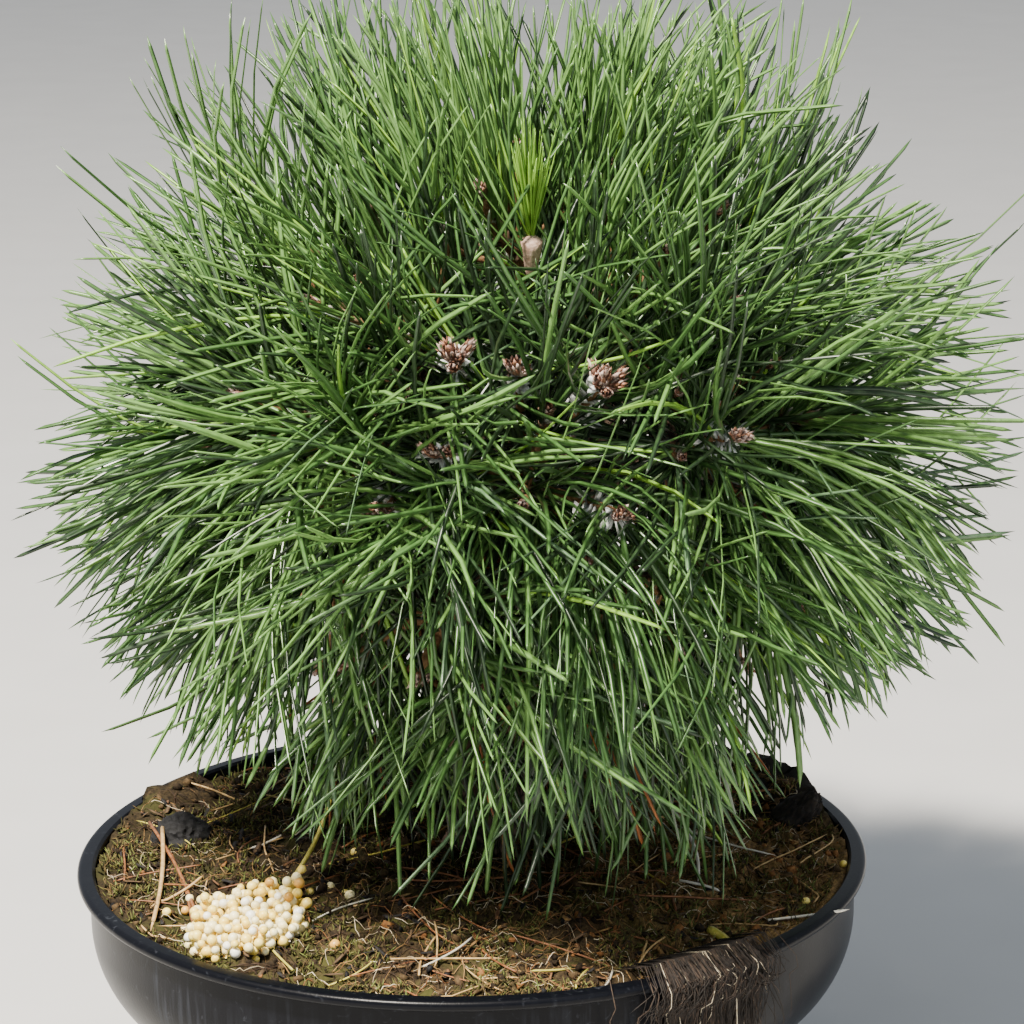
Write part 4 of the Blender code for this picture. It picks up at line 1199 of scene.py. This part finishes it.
# Each twig: its line, its foot's radius, the mass that it belongs to, and its kind
twigs = []
front_tips = [Vector(tip) for tip in FRONT_TIPS]
owners = []
for tip in front_tips:
    way = (tip - CROWN_CENTRE).normalized()
    owners.append(max(range(len(plan)), key=lambda n: plan[n][1].dot(way)))
for index, (name, heading, foot_height, end_radius) in enumerate(plan):
    rng = random.Random(PLANT_SEED + 17 * index)
    start = CROWN_CENTRE + heading * (end_radius + SEAT_GAP)
    shoots = shoot_plan(heading, rng)
    stem_tip = shoots[0][0]
    tip_radius = (stem_tip - CROWN_CENTRE).length - STEM_LEAD
    for number, (tip, aim) in enumerate(shoots):
        fork = start.lerp(stem_tip, FIRST_FORK + FORK_STEP * number) if number else start
        if all((tip - other).length > TWIG_CLEAR_OF_FRONT for other in front_tips):
            radius = TWIG_RADIUS if number else STEM_RADIUS
            twigs.append((twig_line(fork, tip, aim), radius, index, "main"))
    turn = rng.uniform(0, math.tau)
    for kind, count, unevenness, spread, depth, fork_range, tilt, slimness in FINE_SHOOTS:
        for _ in range(count):
            turn += math.tau / count + rng.uniform(-unevenness, unevenness)
            way = leaning(heading, rng.uniform(*spread), turn)
            tip = CROWN_CENTRE + way * (tip_radius - rng.uniform(*depth))
            fork = start.lerp(stem_tip, rng.uniform(*fork_range))
            if kind == "inner" or all((tip - other).length > CLEAR_OF_FRONT for other in front_tips):
                line = twig_line(fork, tip, leaning(way, tilt, turn))
                twigs.append((line, TWIG_RADIUS * slimness, index, kind))
    for number, tip in enumerate(front_tips):
        if owners[number] == index:
            kind, way = "front", (tip - CROWN_CENTRE).normalized()
            if number == CANDLE_TIP:
                kind, way = "candle", Vector(CANDLE_AIM).normalized()
            fork = start.lerp(stem_tip, FRONT_FORK)
            twigs.append((twig_line(fork, tip, way), TWIG_RADIUS, index, kind))

lines = np.array([[place[:] for place in line] for line, _, _, _ in twigs])
taper = 1.0 + (TWIG_TAPER - 1.0) * np.linspace(0, 1, TWIG_POINTS)
widths = np.array([radius for _, radius, _, _ in twigs])[:, None] * taper
twig_finishes = (
    plain_finish("young_orange_bark", "#6A4A2C", "#94704A", 1.2, 0.8, 0.6),
    plain_finish("older_grey_bark", "#3A2D22", "#5E4C3C", 1.2, 0.85, 0.6),
)
deal = [1 if kind == "inner" else 0 for _, _, _, kind in twigs]
strand_piece("pine_twigs", "pine_bark", lines, widths, round_section(6), TWIG_SIDE, twig_finishes, deal)

# Needles: stiff pine needles in pairs, most of them 45 to 70 mm long and under 2 mm wide, flat on the inner
# face and ridged on the outer one. They stand out all round each shoot, and flow up above the crown's waist
# and down below it.
NEEDLE_LENGTH = 0.066
NEEDLE_LENGTH_RANGE = (0.82, 1.10)
NEEDLE_WIDTH = (0.00056, 0.00082)
TOP_NEEDLE_WIDTH = (0.00048, 0.00072)
NEEDLE_PROFILE = (0.70, 0.92, 1.0, 1.0, 0.96, 0.74, 0.0)
NEEDLE_SHARES = (0.0, 0.10, 0.30, 0.52, 0.76, 0.96, 1.0)
NEEDLE_SECTION = ((1.0, -0.10), (0.0, 0.58), (-1.0, -0.10))
GOLDEN_ANGLE = math.pi * (3 - math.sqrt(5))
TURN_SPREAD = 0.3
LEAFY_LENGTH = 0.034
LEAFY_SHARE = 0.95
LEAFY_START = 0.002
FRONT_LEAFY_LENGTH = 0.020
FRONT_LEAN_GAIN = math.radians(24)
LEAN_AT_TIP = math.radians(16)
LEAN_AT_BACK = math.radians(60)
LEAN_SPREAD = math.radians(9)
LEAN_GROWTH = 0.8
AXIS_STEP = 0.003
TASSEL_START = -0.020
TASSEL_LEAN = 0.74
PAIR_SPLAY = math.radians(6)
SPLAY_RANGE = (0.3, 1.7)
FLOW_WAIST = 0.27
FLOW_GAIN = 2.2
FLOW_NOISE = 0.20
SPRAY_FLOW_NOISE = 0.40
FLOW_AIM = 0.60
FLOW_CURVE = 0.44
DROOP = 0.10
CURVE_IN = 0.24
SPRAY_CURVE = 0.17
CURVE_SPREAD = 0.155
BEND_SPREAD = 0.045
LEVEL_FADE = 1.6
CURLED_SHARE = (0.10, 0.32)
CURLED_GAIN = 2.7
VIGOUR = (0.86, 1.06)
CROWN_REACH = 0.1385
CROWN_REACH_LOW = 0.123
SPRAY_REACH = (0.91, 1.10)
REACH_SPREAD = (0.96, 1.03)
SHORTENING = 0.88
SHOULDER_WAY = (0.90, 0.0, 0.43)
SHOULDER_GAIN = 0.07
NEEDLE_FLOOR = SOIL_TOP + 0.003
# The crown's lower edge as it is seen from the front: places across, how high the edge is there over the
# middle of the bowl, and how much higher it is for each metre nearer to the front
LOWER_EDGE_X = (-0.115, -0.104, -0.076, -0.048, -0.034, 0.056, 0.068, 0.080, 0.093, 0.120, 0.150)
LOWER_EDGE_Z = (0.135, 0.120, 0.094, 0.080, 0.0, 0.0, 0.070, 0.092, 0.109, 0.115, 0.132)
EDGE_SLOPE = 0.345
EDGE_SPREAD = 0.0055
STRAY_SHARE = 0.05
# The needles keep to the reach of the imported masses, apart from this share of each side of their box
BOX_MARGIN = 0.024
# A hollow lies in front of each bud that shows, and a longer one in front of the candle
HOLLOW_WAY = (0.0, -0.95, 0.31)
HOLLOW_LENGTH = 0.060
HOLLOW_START = 0.002
CANDLE_HOLLOW_START = 0.008
CANDLE_HOLLOW_RISES = (0.006, 0.018, 0.030)
# A slimmer hollow lets the light in on the large buds from above
LIGHT_WAY = (-0.26, -0.31, 0.91)
LIGHT_HOLLOW_RADIUS = 0.0060
# Thin places low in the crown: the middle of each, its radius, and the share of needles that cross it
WINDOWS = (((-0.0447, 0.0, 0.1172), 0.0075, 0.35), ((0.0830, 0.0, 0.1160), 0.0080, 0.30))
LARGE_BUDS = (0, 2)
HOLLOW_RADII = (0.0075, 0.0045, 0.0075, 0.0080, 0.0035, 0.0040, 0.0040, 0.0030)
PAIRS = {"main": 30, "side": 27, "inner": 11, "front": 30, "candle": 10}
# Fewer pairs on the shoots at the top, and fewer still on those round the crown's foot: each range of heights
# over the crown's centre with its share
THINNING = ((-1.0, -0.062, 0.22), (-0.062, -0.040, 0.38), (-0.040, -0.020, 0.66), (0.045, 1.0, 0.60))
INNER_LOW_THINNING = 0.3
SHADES = ("deep", "mid", "light", "fresh", "grey", "dead")
# The top is dealt more of the lighter greens as painted sunlight; the inner and low shoots get mostly the deep
# green, partly as older needles and partly as painted shade.
SHADE_SHARES = {
    "top": (0.06, 0.28, 0.46, 0.14, 0.06, 0.0),
    "outer": (0.19, 0.45, 0.26, 0.04, 0.06, 0.0),
    "inner": (0.80, 0.14, 0.0, 0.0, 0.06, 0.0),
    "low": (0.60, 0.10, 0.0, 0.0, 0.04, 0.26),
}
TOP_START = 0.040
SAME_SHADE = 0.6

# Pine needles: waxy and half glossy, from blue-black green in the old ones to yellow green in the new. The
# deep green stands partly for old needles and partly for painted shade inside the crown, and the sunlit green
# is painted sunlight.
needle_finishes = [
    plain_finish(name, low, high, 2.5, roughness, 0.1)
    for name, low, high, roughness in (
        ("old_and_shaded_needle_green", "#1D2F1A", "#2A4024", 0.32),
        ("grown_needle_green", "#3A5B2C", "#486A37", 0.28),
        ("sunlit_needle_green", "#577D3E", "#688F4B", 0.28),
        ("new_needle_green", "#719F36", "#86B246", 0.36),
        ("waxy_needle_green", "#4C6A48", "#5F7B58", 0.24),
        ("dead_needle_brown", "#7A431B", "#A2622E", 0.50),
    )
]


def crown_reach(places):
    """Give how far the crown reaches from its centre towards each place."""
    ways = unit(places - np.array(CROWN_CENTRE))
    reach = CROWN_REACH + (CROWN_REACH_LOW - CROWN_REACH) * low_share(ways[:, 2])
    shoulder = np.clip(ways @ np.array(SHOULDER_WAY), 0, 1)
    return reach * (1 + SHOULDER_GAIN * shoulder**8)


def spray(line, kind, rng):
    """Give the needle pairs of one shoot: roots, directions, curves, lengths and flat sides."""
    places = np.array([place[:] for place in line])
    gaps = np.linalg.norm(np.diff(places, axis=0), axis=1)
    behind = np.concatenate([np.cumsum(gaps[::-1])[::-1], [0.0]])
    count = PAIRS[kind]
    for lowest, highest, share in THINNING:
        if lowest < line[-1].z - CROWN_CENTRE.z <= highest and kind not in ("candle", "front"):
            count = round(count * share)
    if kind == "inner" and line[-1].z < CROWN_CENTRE.z:
        count = round(count * INNER_LOW_THINNING)
    leafy = min(FRONT_LEAFY_LENGTH if kind == "front" else LEAFY_LENGTH, behind[0] * LEAFY_SHARE)
    back = LEAFY_START + (leafy - LEAFY_START) * rng.uniform(0, 1, count)
    roots, ahead = (
        np.stack([np.interp(steps, behind[::-1], places[::-1, side]) for side in range(3)], axis=-1)
        for steps in (back, back - AXIS_STEP)
    )
    axis = unit(ahead - roots)
    lean = LEAN_AT_TIP + (LEAN_AT_BACK - LEAN_AT_TIP) * (back / LEAFY_LENGTH) ** LEAN_GROWTH
    if kind == "front":
        lean = lean + FRONT_LEAN_GAIN
    elif line[-1].z < CROWN_CENTRE.z + TASSEL_START:
        lean = lean * TASSEL_LEAN
    lean = lean + rng.normal(0, LEAN_SPREAD, count)
    turn = np.arange(count) * GOLDEN_ANGLE + rng.uniform(0, math.tau) + rng.normal(0, TURN_SPREAD, count)
    first = unit(np.cross(axis, np.array(UPWARD) + 1e-6))
    second = np.cross(axis, first)
    across = first * np.cos(turn)[:, None] + second * np.sin(turn)[:, None]
    aim = axis * np.cos(lean)[:, None] + across * np.sin(lean)[:, None]
    height = unit(roots - np.array(CROWN_CENTRE))[:, 2]
    whim = rng.normal(0, SPRAY_FLOW_NOISE) + rng.normal(0, FLOW_NOISE, count)
    flow = np.tanh(FLOW_GAIN * (height - FLOW_WAIST) + whim)
    flow = flow[:, None] * np.array(UPWARD)
    aim = unit(aim + flow * FLOW_AIM)
    length = NEEDLE_LENGTH * rng.uniform(*VIGOUR) * rng.uniform(*NEEDLE_LENGTH_RANGE, count)
    level = np.clip(1 - LEVEL_FADE * np.abs(height), 0, 1)
    curled = CURLED_SHARE[0] + (CURLED_SHARE[1] - CURLED_SHARE[0]) * level
    curl = np.where(rng.uniform(size=count) < curled, CURLED_GAIN, 1.0)[:, None]
    curve = axis * CURVE_IN + flow * FLOW_CURVE + rng.normal(0, CURVE_SPREAD, (count, 3)) * curl
    curve += rng.normal(0, SPRAY_CURVE, 3)
    curve[:, 2] -= DROOP
    curve -= aim * np.sum(curve * aim, axis=1, keepdims=True)
    flat = unit(np.cross(aim, rng.normal(size=(count, 3))))
    return roots, aim, curve, length, flat


def bent_runs(roots, ways, bends, lengths):
    """Give needles' middle lines, which bend away more and more towards their tips."""
    shares = np.array(NEEDLE_SHARES)[None, :, None]
    runs = ways[:, None] * shares + bends[:, None] * shares**2
    return roots[:, None] + runs * lengths[:, None, None]


def within_crown(ends, spray_reach, rng):
    """Say which places lie within the crown, above the mix and above the crown's lower edge."""
    away = np.linalg.norm(ends - np.array(CROWN_CENTRE), axis=1)
    inside = away < crown_reach(ends) * spray_reach * rng.uniform(*REACH_SPREAD, len(ends))
    edge = np.interp(ends[:, 0], LOWER_EDGE_X, LOWER_EDGE_Z) + rng.normal(0, EDGE_SPREAD, len(ends))
    under = (ends[:, 2] + EDGE_SLOPE * ends[:, 1] < edge) & (rng.uniform(size=len(ends)) > STRAY_SHARE)
    low, high = np.array(cad_bounds)
    margin = (high - low) * BOX_MARGIN
    in_box = np.all((ends > low - margin) & (ends < high + margin), axis=1)
    return inside & in_box & (ends[:, 2] > NEEDLE_FLOOR) & ~under


def clear_of_hollow(runs, foot, way, radius):
    """Say which needles keep out of a hollow that runs from its foot that way."""
    away = runs - foot
    along = np.sum(away * way, axis=2)
    beside = np.linalg.norm(away - along[..., None] * way, axis=2)
    return ~np.any((along > 0) & (along < HOLLOW_LENGTH) & (beside < radius), axis=1)


def out_of_hollows(runs):
    """Say which needles keep out of the hollows in front of the buds and the candle that show."""
    way = unit(np.array(HOLLOW_WAY))
    clear = np.ones(len(runs), dtype=bool)
    for number, (tip, radius) in enumerate(zip(FRONT_TIPS, HOLLOW_RADII)):
        feet = [np.array(tip) + way * HOLLOW_START]
        if number == CANDLE_TIP:
            rises = [np.array((0.0, 0.0, rise)) for rise in CANDLE_HOLLOW_RISES]
            feet = [np.array(tip) + rise + way * CANDLE_HOLLOW_START for rise in rises]
        for foot in feet:
            clear &= clear_of_hollow(runs, foot, way, radius)
        if number in LARGE_BUDS:
            clear &= clear_of_hollow(runs, feet[0], unit(np.array(LIGHT_WAY)), LIGHT_HOLLOW_RADIUS)
    return clear


def left_in_windows(runs, rng):
    """Say which needles are left where daylight shows through, low in the crown."""
    left = np.ones(len(runs), dtype=bool)
    for middle, radius, share in WINDOWS:
        way = unit(np.array(middle) - np.array(CAMERA_PLACE))
        away = runs - np.array(middle)
        beside = np.linalg.norm(away - np.sum(away * way, axis=2)[..., None] * way, axis=2)
        left &= ~np.any(beside < radius, axis=1) | (rng.uniform(size=len(runs)) < share)
    return left


profile = np.array(NEEDLE_PROFILE)
sheaths = []
for index, (name, heading, _, _) in enumerate(plan):
    rng = np.random.default_rng(PLANT_SEED + 31 * index)
    lines, widths, sides, deal = [], [], [], []
    for line, _, owner, kind in twigs:
        if owner != index:
            continue
        depth = "inner" if kind == "inner" else "outer"
        if kind == "inner" and heading.z < -0.2:
            depth = "low"
        if depth == "outer" and line[-1].z > CROWN_CENTRE.z + TOP_START:
            depth = "top"
        width_range = TOP_NEEDLE_WIDTH if depth == "top" else NEEDLE_WIDTH
        spray_reach = rng.uniform(*SPRAY_REACH)
        roots, aim, curve, length, flat = spray(line, kind, rng)
        shade = rng.choice(len(SHADES), p=SHADE_SHARES[depth])
        if depth in ("top", "outer"):
            shade = min(shade, SHADES.index("light"))
        for _ in range(2):
            ends = roots + (aim + curve) * length[:, None]
            length = np.where(within_crown(ends, spray_reach, rng), length, length * SHORTENING)
        ends = roots + (aim + curve) * length[:, None]
        keep = within_crown(ends, spray_reach, rng)
        for half in (-1.0, 1.0):
            splay = flat * math.sin(PAIR_SPLAY) * half * rng.uniform(*SPLAY_RANGE, (len(roots), 1))
            bend = curve + rng.normal(0, BEND_SPREAD, curve.shape)
            run = bent_runs(roots, unit(aim + splay), bend, length)
            stays = keep & (out_of_hollows(run) | (kind == "candle")) & left_in_windows(run, rng)
            lines.append(run[stays])
            widths.append((rng.uniform(*width_range, len(roots))[:, None] * profile)[stays])
            sides.append((flat * half)[stays])
            other = rng.choice(len(SHADES), len(roots), p=SHADE_SHARES[depth])
            deal.append(np.where(rng.uniform(size=len(roots)) < SAME_SHADE, shade, other)[stays])
        sheaths.append((roots[keep], aim[keep], np.full(keep.sum(), kind == "front")))
    lines, widths, sides, deal = (np.concatenate(part) for part in (lines, widths, sides, deal))
    mass = (lines, widths, NEEDLE_SECTION, sides, needle_finishes, deal)
    strand_piece(f"needles_{name}", "pine_needles", *mass, f"foliage_{name}")

# Sheaths: the papery sleeve round the foot of each pair, grey-white on young shoots and brown on old ones.
SHEATH_LENGTH = (0.0035, 0.0060)
SHEATH_SHARES = (0.0, 0.75, 1.0)
SHEATH_RADIUS = 0.00105
SHEATH_PROFILE = (0.8, 1.0, 0.0)
FRONT_SHEATH_GAIN = 1.35
FRONT_SHEATH_WIDTH = 1.1
OTHER_SHEATH_WIDTH = 0.9
rng = np.random.default_rng(PLANT_SEED)
roots, aims, shows = (np.concatenate(part) for part in zip(*sheaths))
length = rng.uniform(*SHEATH_LENGTH, len(roots)) * np.where(shows, FRONT_SHEATH_GAIN, 1.0)
lines = roots[:, None] + aims[:, None] * (length[:, None] * np.array(SHEATH_SHARES))[:, :, None]
widths = SHEATH_RADIUS * np.tile(SHEATH_PROFILE, (len(roots), 1))
widths *= np.where(shows, FRONT_SHEATH_WIDTH, OTHER_SHEATH_WIDTH)[:, None]
beside = rng.normal(size=roots.shape)
sheath_finishes = (
    plain_finish("papery_grey_sheath", "#8F8B80", "#B9B5AA", 0.8, 0.7),
    plain_finish("brown_sheath", "#4B3A28", "#6B563E", 0.8, 0.75),
    plain_finish("waxy_white_sheath", "#C2C6C3", "#ECEEEC", 0.8, 0.55),
)
deal = np.where(shows, 2, rng.choice(2, len(roots), p=(0.35, 0.65)))
strand_piece("needle_sheaths", "pine_needles", lines, widths, round_section(3), beside, sheath_finishes, deal)

# Buds: each outer tip ends in a resinous bud of overlapping red-brown scales, with smaller ones round it.
BUD_LENGTH = 0.0075
BUD_RADIUS = 0.0017
BUD_PROFILE = (0.45, 0.85, 1.0, 0.92, 0.7, 0.38, 0.0)
SIDE_BUDS = {"large": 5, "small": 2, "plain": 0}
BUD_SIZE = {"large": (0.95, 1.15), "small": (0.70, 0.85), "plain": (0.50, 0.75)}
SIDE_BUD_SHARE = 0.8
END_BUD_LEAN = 0.1
BUD_LEAN = (0.35, 0.75)
BUD_TURN_SPREAD = 0.4
BUD_RISE = 0.45
BUD_SUNK = 0.002
BUD_AHEAD = 0.001
BUD_SCALES = 22
SCALE_TURN = 2.4
SCALE_LENGTH = 0.0034
SCALE_WIDTHS = (0.0007, 0.0006, 0.0)
SCALE_SECTION = ((1.0, -0.1), (0.0, 0.35), (-1.0, -0.1))
SCALE_SPREAD = (-0.0002, 0.0010)
rng = np.random.default_rng(PLANT_SEED + 1)
shares = np.linspace(0, 1, len(BUD_PROFILE))
lines, widths, scale_lines, scale_sides = [], [], [], []
for line, _, _, kind in twigs:
    if kind in ("inner", "candle"):
        continue
    tip = np.array(line[-1])
    axis = np.array(line[-1] - line[-2])
    rank = "plain"
    if kind == "front":
        rank = "large" if any((line[-1] - front_tips[n]).length < 0.001 for n in LARGE_BUDS) else "small"
        axis = unit(axis) + np.array((0.0, 0.0, BUD_RISE))
    axis = unit(axis)
    for number in range(SIDE_BUDS[rank] + 1):
        lean = rng.uniform(*BUD_LEAN) if number else END_BUD_LEAN
        turn = number * math.tau / max(SIDE_BUDS[rank], 1) + rng.uniform(-BUD_TURN_SPREAD, BUD_TURN_SPREAD)
        way = np.array(leaning(Vector(axis), lean, turn))
        scale = rng.uniform(*BUD_SIZE[rank]) * (SIDE_BUD_SHARE if number else 1.0)
        root = tip - axis * BUD_SUNK + way * BUD_AHEAD
        lines.append(root + way * (BUD_LENGTH * scale * shares)[:, None])
        widths.append(np.array(BUD_PROFILE) * BUD_RADIUS * scale)
        for step in range(BUD_SCALES):
            share = 0.02 + 0.85 * step / BUD_SCALES
            out = np.array(leaning(Vector(way), math.pi / 2, step * SCALE_TURN))
            belly = np.interp(share, shares, BUD_PROFILE) * BUD_RADIUS * scale
            foot = root + way * BUD_LENGTH * scale * share + out * belly * 0.8
            middle = foot + way * SCALE_LENGTH * 0.45 * scale + out * 0.0004
            head = foot + way * SCALE_LENGTH * scale + out * rng.uniform(*SCALE_SPREAD)
            scale_lines.append([foot, middle, head])
            scale_sides.append(out)
bud_finishes = (
    plain_finish("resinous_bud", "#6A493D", "#8F6A5C", 0.8, 0.6, 0.6),
    plain_finish("pink_bud_scale", "#A08479", "#C6B0A5", 0.8, 0.6, 0.4),
    plain_finish("rust_bud_scale", "#7A4E39", "#A0745A", 0.8, 0.6, 0.4),
)
deal = np.zeros(len(lines))
strand_piece("buds", "pine_bark", lines, widths, round_section(7), TWIG_SIDE, bud_finishes, deal)
widths = np.tile(SCALE_WIDTHS, (len(scale_lines), 1))
deal = rng.choice(3, len(scale_lines), p=(0.2, 0.45, 0.35))
strand_piece("bud_scales", "pine_bark", scale_lines, widths, SCALE_SECTION, scale_sides, bud_finishes, deal)

# Candle: the leader's new shoot, a short pinkish stem wrapped in pale scales, with a tight bundle of
# bright new needles standing out of its top.
CANDLE_LENGTH = 0.0125
CANDLE_RADIUS = 0.0029
CANDLE_PROFILE = (0.38, 0.50, 0.64, 0.78, 0.90, 1.0, 0.0)
CANDLE_WAY = (0.03, -0.22, 1.0)
CANDLE_SUNK = 0.003
CANDLE_NEEDLES = 64
CANDLE_NEEDLE_FEET = (CANDLE_LENGTH - 0.006, CANDLE_LENGTH - 0.003)
CANDLE_NEEDLE_LENGTH = (0.017, 0.031)
CANDLE_SPREAD = 0.13
CANDLE_CURVE = 0.05
CANDLE_CURVE_SPREAD = 0.02
CANDLE_NEEDLE_WIDTH = (0.00038, 0.00052)
CANDLE_NEEDLE_PROFILE = (0.8, 1.0, 1.0, 0.95, 0.8, 0.35, 0.0)
rng = np.random.default_rng(PLANT_SEED + 2)
tip = np.array(FRONT_TIPS[CANDLE_TIP])
axis = unit(np.array(CANDLE_WAY))
shares = np.linspace(0, 1, len(CANDLE_PROFILE))
lines = (tip - axis * CANDLE_SUNK + axis * (CANDLE_LENGTH * shares)[:, None])[None]
widths = np.array(CANDLE_PROFILE)[None] * CANDLE_RADIUS
skin = (plain_finish("candle_skin", "#A5836F", "#D2B5A2", 1.0, 0.6, 0.7),)
strand_piece("candle_stem", "pine_bark", lines, widths, round_section(12), (1.0, 0.0, 0.0), skin, [0])

ways = unit(axis + rng.normal(0, CANDLE_SPREAD, (CANDLE_NEEDLES, 3)))
roots = tip + axis * rng.uniform(*CANDLE_NEEDLE_FEET, CANDLE_NEEDLES)[:, None]
length = rng.uniform(*CANDLE_NEEDLE_LENGTH, CANDLE_NEEDLES)
bend = axis * CANDLE_CURVE + rng.normal(0, CANDLE_CURVE_SPREAD, (CANDLE_NEEDLES, 3))
lines = bent_runs(roots, ways, bend, length)
widths = rng.uniform(*CANDLE_NEEDLE_WIDTH, CANDLE_NEEDLES)[:, None] * np.array(CANDLE_NEEDLE_PROFILE)
beside = rng.normal(size=ways.shape)
fresh = needle_finishes[SHADES.index("fresh")]
deal = np.zeros(CANDLE_NEEDLES)
strand_piece("candle_needles", "pine_needles", lines, widths, NEEDLE_SECTION, beside, (fresh,), deal)
